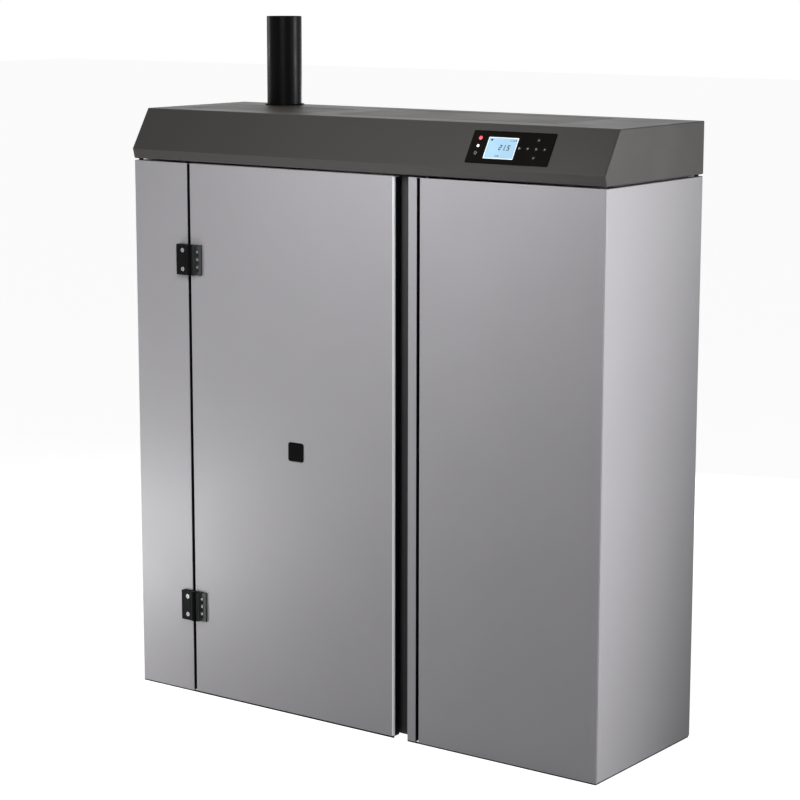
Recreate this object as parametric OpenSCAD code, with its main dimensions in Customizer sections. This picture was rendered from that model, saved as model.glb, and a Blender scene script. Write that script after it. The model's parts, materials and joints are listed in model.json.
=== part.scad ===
// Slim free-standing pellet boiler cabinet: hinged front door, hopper bay on the right,
// dark cover with a control panel on its slanted face and a flue pipe at the back left.
// Inside the modules X runs from the left side, Y back from the front face, Z up from the floor.

/* [Cabinet] */
// Width over the side panels
body_w = 1230; // [1150:10:1400]
// Depth from the front face to the back
body_d = 386; // [370:2:440]
// Height of the panels' top edge above the floor
panel_top = 1211; // [1180:1:1280]
// Height of the panels' lower edge above the floor
floor_gap = 3; // [2.5:0.5:8]
// Thickness of the panel sheet
sheet = 1.5; // [1:0.1:2]
// Depth of the folded edges of the front panels
fold_d = 32; // [31:0.5:36]
// Width of the fixed strip left of the door
strip_w = 153.5; // [140:0.5:165]
// Width of the gap on the door's hinge side
seam_w = 7.5; // [6:0.5:9]
// Width of the light stile right of the handle channel
stile_w = 21.5; // [15:0.5:30]
// Width of the gap between the stile and the right front panel
panel_gap = 7.5; // [4:0.5:10]

/* [Front door] */
// Width of the front door
door_w = 560; // [540:1:600]
// Thickness of the front door over its folded edges
door_t = 20; // [16:0.5:21]
// Width of the handle channel beside the door
channel_w = 36; // [25:1:45]
// Reach of the handle channel behind the door's edge
channel_back = 22; // [15:1:28]
// Height of the lower hinge's centre above the floor
hinge_low_z = 206; // [150:1:300]
// Height of the upper hinge's centre above the floor
hinge_high_z = 998; // [850:1:1100]
// Height of one hinge
hinge_h = 68; // [62:1:80]
// Length of one hinge leaf from the pin
leaf_w = 32.5; // [30:0.5:38]
// Thickness of the hinge blocks
leaf_t = 13; // [12:0.5:14]
// Distance of the hinge pins to the right of the seam's middle
hinge_shift = 5.5; // [4:0.5:6]
// Radius of the hinge pins
hinge_pin_r = 2.5; // [2:0.1:3.5]
// Width and height of the bare badge on the door
badge = [42, 42]; // [20:1:60]

/* [Cover] */
// Shadow gap between the panels and the cover
cover_gap = 4; // [2:0.5:6]
// Height of the cover over its lower edge
cover_h = 110; // [100:1:125]
// Height of the cover's lower band
band_h = 22; // [15:1:30]
// Forward reach of the nose above the band
nose = 6; // [3:0.5:9]
// Distance of the top's front edge behind the front face
slope_run = 48; // [35:1:60]
// Overhang of the cover at each side
cover_side = 2; // [2:0.1:3]
// Thickness of the cover sheet
cover_t = 2; // [1.5:0.1:2.5]
// Width and depth of the cleaning lid
service_lid_w = 345; // [320:5:360]
// Width and depth of the hopper lid
hopper_lid_size = [556, 215]; // [150:5:600]
// Distance of both lids' front edges from the front face
lid_front = 120; // [110:1:130]
// Distance of the cleaning lid from the left side
service_lid_x = 61; // [40:1:80]
// Distance of the hopper lid from the left side
hopper_lid_x = 484; // [470:1:500]
// Gap round a lid
lid_gap = 1.5; // [1.2:0.1:2.5]

/* [Control panel] */
// Width and height of the black front plate
fascia = [198, 74]; // [70:1:210]
// Distance of the front plate from the left side
fascia_x = 896.5; // [850:0.5:950]
// Distance of the front plate up the slanted face from the nose
fascia_s = 12; // [8:0.5:18]
// Width and height of the display
screen = [72, 49]; // [40:1:80]
// Diameter of a key
key_d = 11; // [8:0.5:13]
// Travel of a key
key_travel = 0.8; // [0.3:0.1:1.2]

/* [Flue and water] */
// Outside diameter of the flue pipe
flue_d = 80; // [78:1:84]
// Wall of the flue pipe
flue_t = 1.5; // [1:0.1:2]
// Height of the flue pipe above the cover
flue_rise = 202; // [100:1:300]
// Distance of the flue pipe from the left side
flue_x = 160; // [150:1:170]
// Outside diameter of the water pipes
water_d = 26.5; // [21:0.5:34]
// Reach of the pipes behind the back
pipe_reach = 28; // [20:1:40]
// Outside diameter of the air intake pipe
air_d = 50; // [40:1:60]

/* [Boiler] */
// Distance of the boiler from the left side
boiler_x = 215; // [212:1:225]
// Width of the boiler
boiler_w = 250; // [240:1:256]
// Distance of the boiler's front from the front face
boiler_y = 66; // [66:0.5:70]
// Space between the boiler and the cabinet's back
boiler_back = 36; // [34:1:44]
// Thickness of the firebox walls
wall = 12; // [10:1:16]
// Height of the ash compartment
ash_h = 140; // [120:1:150]
// Height of the combustion chamber
fire_h = 415; // [380:1:440]
// Space between the boiler and the top of the panels
boiler_above = 47; // [44:1:60]
// Height of the smoke box on the exchanger
smoke_h = 104; // [100:1:112]
// Inside radius of an exchanger tube
tube_r = 24; // [20:0.5:26]

/* [Pellet feed] */
// Radius of the feed tube
feed_r = 32; // [28:0.5:36]
// Height of the feed tube's axis above the floor
feed_z = 400; // [380:1:420]
// Width of the hopper's throat
throat_w = 90; // [70:1:110]
// Height of the hopper's straight walls
hopper_wall_h = 385; // [300:5:400]
// Radius of the auger's flights
auger_r = 27; // [24:0.5:27.5]
// Pitch of the auger's flights
auger_pitch = 45; // [35:1:60]

/* [Hidden] */
$fn = 48;

fit = 0.3; // clearance between neighbouring pieces
run = 0.05; // radial clearance of a turning pin
cut = 1; // extra length of a cutting shape

door_x = strip_w + seam_w;
channel_x = door_x + door_w;
stile_x = channel_x + channel_w;
right_x = stile_x + stile_w + panel_gap;
panel_h = panel_top - floor_gap;
cover_z = panel_top + cover_gap;
band_z = cover_z + band_h;
top_z = cover_z + cover_h;
slope_a = atan2(cover_h - band_h, slope_run + nose);
hinge_x = strip_w + seam_w / 2 + hinge_shift;
knuckle_r = 7;
neck_t = 5;
flange_w = 20;
hinge_y = neck_t - leaf_t;
knuckle_h = 22;
leaf_start = 9.5;
front_y = hinge_y - knuckle_r;
back_y = body_d + pipe_reach;

plate_top = floor_gap + 2;
boiler_x2 = boiler_x + boiler_w;
boiler_depth = body_d - boiler_y - boiler_back;
boiler_y2 = boiler_y + boiler_depth;
ash_z = plate_top + 30;
deck_z = ash_z + ash_h;
fire_z = deck_z + 10;
fire_top = fire_z + fire_h;
exch_z = fire_top + wall;
exch_top = panel_top - boiler_above;
smoke_z = exch_top - smoke_h;
tube_h = smoke_z - exch_z;
in_x = boiler_x + wall;
in_w = boiler_w - 2 * wall;
in_d = boiler_depth - wall;

fan_y = body_d - 98;
fan_z = smoke_z + smoke_h / 2;
fan_r = 78;
fan_x2 = boiler_x - 12;
fan_x1 = flue_x - flue_d / 2 - 3;
fan_inlet_w = 76;
flue_y = fan_y + 50;
service_lid_size = [service_lid_w, flue_y - flue_d / 2 - 18 - lid_front];
flue_crimp = 1;

pot = 100;
pot_h = 90;
pot_x = boiler_x + boiler_w / 2 - pot / 2;
pot_y = boiler_y + boiler_depth / 2 - pot / 2;

part_x = boiler_x2 + 13;
hop_x1 = hopper_lid_x + 2;
hop_x2 = body_w - flange_w - 2;
hop_y1 = slope_run + 16;
hop_y2 = body_d - 20;
hop_top = top_z - 14;
hop_shoulder = hop_top - hopper_wall_h;
feed_y = boiler_y + boiler_depth / 2;
throat_x = hop_x1 + 159;
throat_z = feed_z + feed_r + 14;
feed_x2 = throat_x + throat_w + 30;

in_door_x = boiler_x + 24;
in_door_w = boiler_w - 44;
in_door_z = deck_z + 30;
in_door_h = fire_top - in_door_z - 12;
in_door_t = 14;
seal_t = 5;
in_door_y = boiler_y - seal_t - in_door_t;
pivot_x = boiler_x + 11;
pivot_y = in_door_y + in_door_t / 2;
pivot_r = 4;

// Points of a closed anticlockwise outline, moved inward by t
function corner(a, b, c, t) =
    let (d1 = (b - a) / norm(b - a), d2 = (c - b) / norm(c - b),
        n1 = [-d1[1], d1[0]], n2 = [-d2[1], d2[0]])
    b + t * (n1 + n2) / (1 + n1 * n2);
function inset(p, t) =
    [for (i = [0 : len(p) - 1]) corner(p[(i + len(p) - 1) % len(p)], p[i], p[(i + 1) % len(p)], t)];

// Moves the cabinet so that the origin is under the middle of its bounding box
module seat() {
    translate([-body_w / 2, -(front_y + back_y) / 2, 0]) children();
}

// A box given by its low corner and size
module block(p, s) {
    translate(p) cube(s);
}

// Cylinders that lie along X, Y or Z from a start point
module rod_x(p, r, h) {
    translate(p) rotate([0, 90, 0]) cylinder(r = r, h = h);
}
module rod_y(p, r, h) {
    translate(p) rotate([-90, 0, 0]) cylinder(r = r, h = h);
}
module rod_z(p, r, h) {
    translate(p) cylinder(r = r, h = h);
}

// An outline in the YZ plane, drawn out along X
module along_x(x, w, p) {
    translate([x, 0, 0]) rotate([90, 0, 90]) linear_extrude(height = w) polygon(p);
}

// An outline in the XZ plane, drawn out along Y
module along_y(y, w, p) {
    translate([0, y + w, 0]) rotate([90, 0, 0]) linear_extrude(height = w) polygon(p);
}

// Places children on the slanted face: x from the left side, s up from the nose, z outward
module on_slope(x, s) {
    translate([x, -nose, band_z]) rotate([slope_a, 0, 0]) translate([0, s, 0]) children();
}

foot_xy = [[70, fold_d + 40], [body_w - 70, fold_d + 40], [70, body_d - 50],
    [body_w - 70, body_d - 50]];

module base_frame() {
    color("#5c5f63") seat() difference() {
        union() {
            block([sheet, fold_d, floor_gap], [body_w - 2 * sheet, body_d - fold_d - sheet, 2]);
            difference() {
                block([sheet, fold_d, floor_gap], [body_w - 2 * sheet, body_d - fold_d - sheet, 27]);
                block([sheet + 2, fold_d + 2, floor_gap - cut],
                    [body_w - 2 * sheet - 4, body_d - fold_d - sheet - 4, 30]);
            }
            for (p = foot_xy) rod_z([p[0], p[1], floor_gap], 10, 24);
        }
        for (p = foot_xy) rod_z([p[0], p[1], floor_gap - cut], 5 + run, 30);
    }
}

rail_h = 40;

module top_rail() {
    color("#5c5f63") seat() block([2 * sheet, fold_d, panel_top - rail_h],
        [body_w - 4 * sheet, 2, rail_h - sheet - fit]);
}

module levelling_feet() {
    color("#242424") seat() for (p = foot_xy) {
        rod_z([p[0], p[1], 0], 22, floor_gap);
        rod_z([p[0], p[1], floor_gap], 5, 34);
    }
}

// Side panel with folded flanges at its back and top, given by its outer face
module side_panel(x, dir) {
    inner = dir > 0 ? 0 : -1;
    block([x + inner * sheet, sheet, floor_gap], [sheet, body_d - sheet, panel_h]);
    block([x + (dir > 0 ? sheet : -flange_w), body_d - 2 * sheet, floor_gap + 30],
        [flange_w - sheet, sheet, panel_h - 30]);
    block([x + (dir > 0 ? sheet : -flange_w), fold_d, panel_top - sheet],
        [flange_w - sheet, body_d - fold_d - 2 * sheet, sheet]);
}

module left_side_panel() {
    color("#8f9193") seat() side_panel(0, 1);
}

module right_side_panel() {
    color("#8f9193") seat() side_panel(body_w, -1);
}

water_x = boiler_x + boiler_w - 90;
return_z = exch_z + 60;
flow_z = smoke_z - 60;
air_x = boiler_x + boiler_w / 2;
air_z = ash_z + 70;
air_wall = 1.5;
air_collar = 12;
inlet_x = body_w - 130;
inlet_z = 120;
inlet_w = 50;
inlet_h = 60;

module rear_panel() {
    color("#77797c") seat() difference() {
        union() {
            block([sheet, body_d - sheet, floor_gap], [body_w - 2 * sheet, sheet, panel_h]);
            block([flange_w, body_d - rim_w, panel_top - sheet],
                [body_w - 2 * flange_w, rim_w - sheet, sheet]);
        }
        rod_z([flue_x, flue_y, panel_top - 20], flue_d / 2 + 5, 40);
        for (z = [return_z, flow_z])
            rod_y([water_x, body_d - 10, z], water_d / 2 + 1, 20);
        rod_y([air_x, body_d - 10, air_z], air_d / 2 + 1, 20);
        block([inlet_x - inlet_w / 2, body_d - 10, inlet_z - inlet_h / 2], [inlet_w, 20, inlet_h]);
        for (p = rear_screws) rod_y([p[0], body_d - 10, p[1]], 2 + run, 20);
        for (i = [0 : 7]) block([body_w - 330, body_d - 10, 560 + i * 16], [120, 20, 5]);
    }
}

// Front panel as a shallow pan with folded left and right edges
module front_pan(x, w) {
    block([x, 0, floor_gap], [w, sheet, panel_h]);
    block([x + (x == 0 ? sheet : 0), sheet, floor_gap], [sheet, fold_d - sheet, panel_h]);
    block([x + w - sheet * (x + w == body_w ? 2 : 1), sheet, floor_gap],
        [sheet, fold_d - sheet, panel_h]);
    block([x + 2 * sheet, sheet, panel_top - sheet], [w - 4 * sheet, fold_d - sheet, sheet]);
}

module left_front_strip() {
    color("#a0a0a1") seat() {
        front_pan(0, strip_w);
        block([strip_w, fold_d - sheet, floor_gap], [seam_w + 10, sheet, panel_h]);
    }
}

module right_front_panel() {
    color("#a3a1a4") seat() front_pan(right_x, body_w - right_x);
}

module door_stile() {
    color("#b4b3b6") seat() {
        block([stile_x, 0, floor_gap], [stile_w, sheet, panel_h]);
        block([stile_x, sheet, floor_gap], [sheet, fold_d - sheet, panel_h]);
        block([stile_x + stile_w - sheet, sheet, floor_gap], [sheet, fold_d - sheet, panel_h]);
        block([stile_x + stile_w, fold_d - sheet, floor_gap],
            [panel_gap - fit, sheet, panel_h]);
    }
}

module handle_channel() {
    color("#2e2e30") seat() {
        block([channel_x - channel_back, fold_d - sheet, floor_gap],
            [channel_back + channel_w, sheet, panel_h]);
        block([channel_x - channel_back, door_t + 2, floor_gap],
            [sheet, fold_d - sheet - door_t - 2, panel_h]);
    }
}

part_h = panel_top - sheet - plate_top;

module partition() {
    color("#83868a") seat() difference() {
        union() {
            block([part_x, fold_d, plate_top], [sheet, body_d - fold_d - sheet, part_h]);
            block([part_x, fold_d, plate_top], [12, 2, part_h]);
            block([part_x, body_d - sheet - 2, plate_top], [12, 2, part_h]);
        }
        rod_x([part_x - cut, feed_y, feed_z], feed_r + 1, 20);
        block([part_x - cut, fold_d - cut, floor_gap], [20, 2 + 2 * cut, 27]);
        block([part_x - cut, fold_d - cut, panel_top - rail_h], [20, 2 + cut, rail_h]);
        block([part_x - cut, body_d - sheet - 2 - cut, floor_gap], [20, 2 + 2 * cut, 27]);
    }
}

profile = [[0, cover_z], [body_d, cover_z], [body_d, top_z], [slope_run, top_z], [-nose, band_z]];
rim_w = 16;
ledge = 10;
lid_t = 2;
curl_r = 5;
pin_r = 2;
spacer_xy = concat([for (x = [10, strip_w - 14, right_x + 14, body_w - 10]) [x, 10]],
    [for (x = [10, body_w / 3, body_w * 2 / 3, body_w - 10]) [x, body_d - 10]]);

// Walls and ledge round a lid opening at p with size s
module lid_well(p, s) {
    difference() {
        block([p[0] - lid_gap - 2, p[1] - lid_gap - 2, top_z - 14],
            [s[0] + 2 * lid_gap + 4, s[1] + 2 * lid_gap + 4, 14 - cover_t / 2]);
        block([p[0] - lid_gap, p[1] - lid_gap, top_z - 12], [s[0] + 2 * lid_gap, s[1] + 2 * lid_gap, 20]);
        block([p[0] + ledge, p[1] + ledge, top_z - 20], [s[0] - 2 * ledge, s[1] - 2 * ledge, 20]);
    }
}

service_pos = [service_lid_x, lid_front];
hopper_pos = [hopper_lid_x, lid_front];

// Bores for a lid's two pins, through the well's side walls
module lid_pin_bores(p, s) {
    rod_x([p[0] - lid_gap - 3, p[1] + s[1] - curl_r, top_z - curl_r], pin_r + run,
        s[0] + 2 * lid_gap + 6);
}

module cover_shell() {
    color("#4a4846") seat() difference() {
        union() {
            difference() {
                along_x(-cover_side, body_w + 2 * cover_side, profile);
                along_x(-cover_side + cover_t, body_w + 2 * cover_side - 2 * cover_t,
                    inset(profile, cover_t));
                block([rim_w, rim_w, cover_z - cut], [body_w - 2 * rim_w, body_d - 2 * rim_w, 10]);
                for (q = [[service_pos, service_lid_size], [hopper_pos, hopper_lid_size]])
                    block([q[0][0] - lid_gap, q[0][1] - lid_gap, top_z - 5],
                        [q[1][0] + 2 * lid_gap, q[1][1] + 2 * lid_gap, 10]);
            }
            lid_well(service_pos, service_lid_size);
            lid_well(hopper_pos, hopper_lid_size);
        }
        lid_pin_bores(service_pos, service_lid_size);
        lid_pin_bores(hopper_pos, hopper_lid_size);
        rod_z([flue_x, flue_y, top_z - 30], flue_d / 2 + 1, 60);
        rod_z([flue_x, flue_y, cover_z - cut], flue_d / 2 + 5, 2 * cut + cover_t);
        on_slope(fascia_x + 3 - fit, fascia_s + 3 - fit)
            block([0, 0, -10], [fascia[0] - 6 + 2 * fit, fascia[1] - 6 + 2 * fit, 20]);
        for (p = cover_screws) rod_y([p[0], body_d - 10, p[1]], 2 + run, 20);
    }
}

module cover_spacers() {
    color("#1d1d1d") seat() for (p = spacer_xy) rod_z([p[0], p[1], panel_top], 5, cover_gap);
}

rear_screws = [for (x = [12, body_w - 12]) for (i = [0 : 3])
    [x, floor_gap + 57 + i * (panel_h - 128) / 3]];
cover_screws = [for (x = [60, body_w / 2, body_w - 60]) [x, cover_z + 40]];

module casing_screws() {
    color("#b8bbbf") seat() for (p = concat(rear_screws, cover_screws)) {
        rod_y([p[0], body_d, p[1]], 4, head_h);
        rod_y([p[0], body_d - (p[1] < panel_top ? sheet : cover_t) , p[1]], 2,
            p[1] < panel_top ? sheet : cover_t);
    }
}

// Lid plate with a rolled rear edge round the pin and folded front and side edges
module lid(p, s) {
    px = p[0];
    py = p[1];
    difference() {
        union() {
            block([px, py, top_z - lid_t], [s[0], s[1] - curl_r, lid_t]);
            for (x = [px, px + s[0] - 1.5]) block([x, py, top_z - 12], [1.5, s[1] - 3 * curl_r, 11]);
            block([px, py, top_z - 12], [s[0], 1.5, 11]);
            rod_x([px, py + s[1] - curl_r, top_z - curl_r], curl_r, s[0]);
        }
        rod_x([px - cut, py + s[1] - curl_r, top_z - curl_r], pin_r + run, s[0] + 2 * cut);
    }
}

module service_lid() {
    color("#6e6d66") seat() lid(service_pos, service_lid_size);
}

module hopper_lid() {
    color("#6e6d66") seat() lid(hopper_pos, hopper_lid_size);
}

module lid_pins() {
    color("#c4c6c9") seat()
        for (q = [[service_pos, service_lid_size], [hopper_pos, hopper_lid_size]])
            rod_x([q[0][0] - lid_gap - 2, q[0][1] + q[1][1] - curl_r, top_z - curl_r], pin_r,
                q[1][0] + 2 * lid_gap + 4);
}

badge_z = 597;
badge_x = door_x + door_w * 0.5285;

module outer_door() {
    color("#a5a3a6") seat() difference() {
        block([door_x, 0, floor_gap], [door_w, door_t, panel_h]);
        block([door_x + sheet, sheet, floor_gap + sheet],
            [door_w - 2 * sheet, door_t, panel_h - 2 * sheet]);
    }
}

module door_stiffener() {
    x = door_x + sheet + fit;
    z = floor_gap + sheet + fit;
    w = door_w - 2 * (sheet + fit);
    h = panel_h - 2 * (sheet + fit);
    color("#8b8d90") seat() {
        difference() {
            block([x, sheet, z], [w, door_t - sheet, h]);
            block([x + sheet, sheet - cut, z + sheet], [w - 2 * sheet, door_t - 2 * sheet + cut,
                h - 2 * sheet]);
        }
        for (i = [1 : 3]) block([x, sheet, z + i * h / 4 - 20], [w, door_t - 2 * sheet, 40]);
    }
}

module door_badge() {
    color("#1c1c1d") seat() block([badge_x - badge[0] / 2, -1.2, badge_z - badge[1] / 2],
        [badge[0], 1.2, badge[1]]);
}

// Both hinges of the front door
module at_hinges() {
    for (z = [hinge_low_z, hinge_high_z]) translate([hinge_x, 0, z]) children();
}

fixed_screw_x = -15;
fixed_screw_z = [-21, 21];
fixed_screw_r = 5.5;
fixed_screw_y = -leaf_t + 1;
door_screw_x = 23.5;
door_screw_z = [-15, 2, 19];
door_hole_z = [-23.5, -6.5, 10.5];
door_screw_r = 3;
head_h = 2.4;
rib_w = 6.8;
leaf_end = hinge_shift - seam_w / 2 + fit;

module hinge_fixed_leaves() {
    color("#252628") seat() at_hinges() difference() {
        union() {
            block([-leaf_w, -leaf_t, -hinge_h / 2], [leaf_w - leaf_end, leaf_t, hinge_h]);
            rod_z([0, hinge_y, -hinge_h / 2], knuckle_r, knuckle_h);
            rod_z([0, hinge_y, hinge_h / 2 - knuckle_h], knuckle_r, knuckle_h);
        }
        rod_z([0, hinge_y, -hinge_h / 2 + knuckle_h], knuckle_r + 0.5, hinge_h - 2 * knuckle_h);
        rod_z([0, hinge_y, -hinge_h / 2 - cut], hinge_pin_r, hinge_h + 2 * cut);
        for (z = fixed_screw_z) {
            rod_y([fixed_screw_x, -leaf_t - cut, z], fixed_screw_r + 0.2, 1 + head_h + cut);
            rod_y([fixed_screw_x, -leaf_t - cut, z], fixed_screw_r / 2 + run, leaf_t + 2 * cut);
        }
    }
}

module hinge_door_leaves() {
    color("#2b2c2e") seat() at_hinges() difference() {
        union() {
            block([leaf_start, -leaf_t, -hinge_h / 2], [rib_w, leaf_t, hinge_h]);
            block([leaf_start, -neck_t, -hinge_h / 2], [leaf_w - leaf_start, neck_t, hinge_h]);
            difference() {
                block([4, -neck_t, -hinge_h / 2], [leaf_start - 4, neck_t, hinge_h]);
                for (z = [-hinge_h / 2 - cut, hinge_h / 2 - knuckle_h - 0.4])
                    rod_z([0, hinge_y, z], knuckle_r + 0.5, knuckle_h + cut + 0.4);
            }
            difference() {
                union() {
                    rod_z([0, hinge_y, -hinge_h / 2 + knuckle_h + 0.3], knuckle_r,
                        hinge_h - 2 * knuckle_h - 0.6);
                    block([2, -neck_t, -hinge_h / 2 + knuckle_h + 0.3],
                        [4, neck_t, hinge_h - 2 * knuckle_h - 0.6]);
                }
                rod_z([0, hinge_y, -hinge_h / 2], hinge_pin_r + run, hinge_h);
            }
        }
        for (z = door_screw_z)
            rod_y([door_screw_x, -neck_t - cut, z], door_screw_r / 2 + run, neck_t + 2 * cut);
        for (z = door_hole_z) rod_y([door_screw_x, -neck_t - cut, z], door_screw_r, 3 + cut);
    }
}

// Pins of the outer door's hinges and of the firebox door's lugs
module hinge_pins() {
    color("#9fa2a6") seat() {
        at_hinges() rod_z([0, hinge_y, -hinge_h / 2], hinge_pin_r, hinge_h);
        for (z = lug_z) {
            rod_z([pivot_x, pivot_y, z], pivot_r, 2 * lug_h + fit);
            rod_z([pivot_x, pivot_y, z - 3], pivot_r + 2, 3);
        }
    }
}

module leaf_screws(x, zs, y, r) {
    for (z = zs) {
        rod_y([x, y, z], r, head_h);
        rod_y([x, y + head_h, z], r / 2, -y - head_h);
    }
}

module hinge_fixed_screws() {
    color("#c9cbce") seat() at_hinges()
        leaf_screws(fixed_screw_x, fixed_screw_z, fixed_screw_y, fixed_screw_r);
}

module hinge_door_screws() {
    color("#c9cbce") seat() at_hinges()
        leaf_screws(door_screw_x, door_screw_z, -neck_t - head_h, door_screw_r);
}

module door_magnets() {
    color("#3a3a3c") seat() for (i = [0 : 2])
        block([channel_x - channel_back - 9, door_t + fit, floor_gap + 257 + i * (panel_h - 448) / 2],
            [9, fold_d - door_t - fit, 46]);
}

// Local frame of the control panel: x and s from the front plate's lower left corner
module on_fascia() {
    on_slope(fascia_x, fascia_s) children();
}

plate_t = 2;
plate_out = 1.2;
board_z = -15;
board_t = 1.6;
cap_out = 1.5;
screen_pos = [40, 11.5];
power_pos = [19.5, 22.5];
pad_pos = [160, 37.3];
pad_step = 20;
back_pos = [pad_pos[0] - 2 * pad_step, pad_pos[1]];
lamp_pos = [[20.5, 57], [20, 39]];
key_pos = [power_pos, back_pos, pad_pos, pad_pos - [pad_step, 0], pad_pos + [pad_step, 0],
    pad_pos + [0, pad_step], pad_pos - [0, pad_step]];

module control_fascia() {
    color("#131314") seat() on_fascia() difference() {
        union() {
            block([0, 0, 0], [fascia[0], fascia[1], plate_out]);
            difference() {
                block([3, 3, board_z], [fascia[0] - 6, fascia[1] - 6, -board_z]);
                block([5, 5, board_z - cut], [fascia[0] - 10, fascia[1] - 10,
                    -board_z - plate_t + plate_out + cut]);
            }
        }
        block([screen_pos[0], screen_pos[1], -plate_t], [screen[0], screen[1], 10]);
        for (p = key_pos) rod_z([p[0], p[1], -plate_t], key_d / 2 + fit, 10);
        for (p = lamp_pos) rod_z([p[0], p[1], -plate_t], 2 + fit, 10);
    }
}

module display() {
    color("#bfe0f0") seat() on_fascia()
        block([screen_pos[0] + fit, screen_pos[1] + fit, board_z + board_t],
            [screen[0] - 2 * fit, screen[1] - 2 * fit, plate_out - 0.4 - board_z - board_t]);
}

module status_lamps() {
    color("#e0383c") seat() on_fascia() for (p = lamp_pos)
        rod_z([p[0], p[1], board_z + board_t], 2, plate_out + 0.4 - board_z - board_t);
}

module control_board() {
    color("#2f6b3c") seat() on_fascia()
        block([5 + fit, 5 + fit, board_z], [fascia[0] - 10 - 2 * fit, fascia[1] - 10 - 2 * fit, board_t]);
}

// Key cap with a stem and a flange that stops it behind the front plate
module key_at(p) {
    color("#1b1b1c") seat() on_fascia() {
        rod_z([p[0], p[1], board_z + board_t + key_travel + fit], key_d / 2,
            cap_out - board_z - board_t - key_travel - fit);
        rod_z([p[0], p[1], plate_out - plate_t - 1.5 - run], key_d / 2 + 1.2, 1.5);
    }
}

module power_key() {
    key_at(power_pos);
}

module back_key() {
    key_at(back_pos);
}

module left_key() {
    key_at(pad_pos - [pad_step, 0]);
}

module right_key() {
    key_at(pad_pos + [pad_step, 0]);
}

module up_key() {
    key_at(pad_pos + [0, pad_step]);
}

module down_key() {
    key_at(pad_pos - [0, pad_step]);
}

module ok_key() {
    key_at(pad_pos);
}

tube_edge = [63, 49];
tube_pitch = [(boiler_w - 2 * tube_edge[0]) / 2, (boiler_depth - 2 * tube_edge[1]) / 3];
tube_xy = [for (i = [0 : 2]) for (j = [0 : 3])
    [boiler_x + tube_edge[0] + i * tube_pitch[0], boiler_y + tube_edge[1] + j * tube_pitch[1]]];
lug_z = [in_door_z + 24, in_door_z + in_door_h - 66];
lug_h = 20;
latch_x = in_door_x + in_door_w - 22;
latch_z = in_door_z + in_door_h / 2;
tongue_l = 30;
keeper_x = latch_x + tongue_l + 2;

// Pipe stub out of the boiler's back, thinner where it passes through the rear panel
// Rear pipe end from the depth y, thinner up to just behind the rear panel
module stub(x, z, r, y) {
    rod_y([x, y, z], r - crimp, back_y - y);
    rod_y([x, body_d + 2, z], r, pipe_reach - 2);
}

module firebox() {
    color("#4d4f52") seat() difference() {
        union() {
            difference() {
                block([boiler_x, boiler_y, plate_top],
                    [boiler_w, boiler_depth, exch_z - plate_top]);
                block([in_x, boiler_y - cut, plate_top - cut],
                    [in_w, in_d + cut, ash_z - 5 - plate_top + cut]);
                block([in_x, boiler_y - cut, ash_z], [in_w, in_d + cut, ash_h]);
                block([in_x, boiler_y + wall, fire_z], [in_w, in_d - wall, fire_h]);
                block([in_door_x + 16, boiler_y - cut, in_door_z + 16],
                    [in_door_w - 32, wall + 2 * cut, in_door_h - 32]);
            }
            for (z = lug_z) {
                block([pivot_x - 6, pivot_y, z], [12, boiler_y - pivot_y + cut, lug_h]);
                rod_z([pivot_x, pivot_y, z], 7, lug_h);
            }
            block([keeper_x, in_door_y - 11, latch_z - 14], [6, boiler_y - in_door_y + 12, 28]);
            block([keeper_x - 8, in_door_y - 11, latch_z - 14], [9, 3, 28]);
            along_y(feed_y - 25, 50, [[in_x + in_w + cut, feed_z - feed_r - 24],
                [in_x + in_w + cut, feed_z - feed_r - 20], [pot_x + pot - 8, fire_z + pot_h + 12],
                [pot_x + pot - 8, fire_z + pot_h + 8]]);
        }
        block([pot_x + 10, pot_y + 10, deck_z - cut], [pot - 20, pot - 20, 12]);
        block([boiler_x + tube_edge[0] - tube_r, boiler_y + tube_edge[1] - tube_r, fire_top - cut],
            [2 * tube_pitch[0] + 2 * tube_r, 3 * tube_pitch[1] + 2 * tube_r, wall + 2 * cut]);
        rod_x([boiler_x2 - wall - cut, feed_y, feed_z], feed_r + fit, wall + 2 * cut);
        rod_y([air_x, boiler_y2 - wall - cut, air_z], air_d / 2 - air_wall, wall + 2 * cut);
        for (z = lug_z) rod_z([pivot_x, pivot_y, z - cut], pivot_r, lug_h + 2 * cut);
    }
}

module firebox_door() {
    color("#2c2c2d") seat() difference() {
        union() {
            block([in_door_x, in_door_y, in_door_z], [in_door_w, in_door_t, in_door_h]);
            for (z = lug_z) {
                rod_z([pivot_x, pivot_y, z + lug_h + fit], 7, lug_h);
                block([pivot_x, pivot_y - 4, z + lug_h + fit], [in_door_x - pivot_x + cut, 8, lug_h]);
            }
            block([in_door_x + 40, in_door_y - 3, in_door_z + 40],
                [in_door_w - 80, 3 + cut, 60]);
            block([in_door_x + 40, in_door_y - 3, in_door_z + in_door_h - 100],
                [in_door_w - 80, 3 + cut, 60]);
        }
        for (z = lug_z) rod_z([pivot_x, pivot_y, z + lug_h], pivot_r + run, lug_h + 2 * cut);
        rod_y([latch_x, in_door_y - cut, latch_z], 5 + run, in_door_t + 2 * cut);
    }
}

module firebox_door_board() {
    color("#b9a888") seat() block([in_door_x + 19, in_door_y + in_door_t, in_door_z + 19],
        [in_door_w - 38, seal_t - fit, in_door_h - 38]);
}

module firebox_door_seal() {
    color("#d2cfc6") seat() difference() {
        block([in_door_x + 6, in_door_y + in_door_t, in_door_z + 6],
            [in_door_w - 12, seal_t - fit, in_door_h - 12]);
        block([in_door_x + 14, in_door_y + in_door_t - cut, in_door_z + 14],
            [in_door_w - 28, seal_t + 2 * cut, in_door_h - 28]);
    }
}

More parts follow.
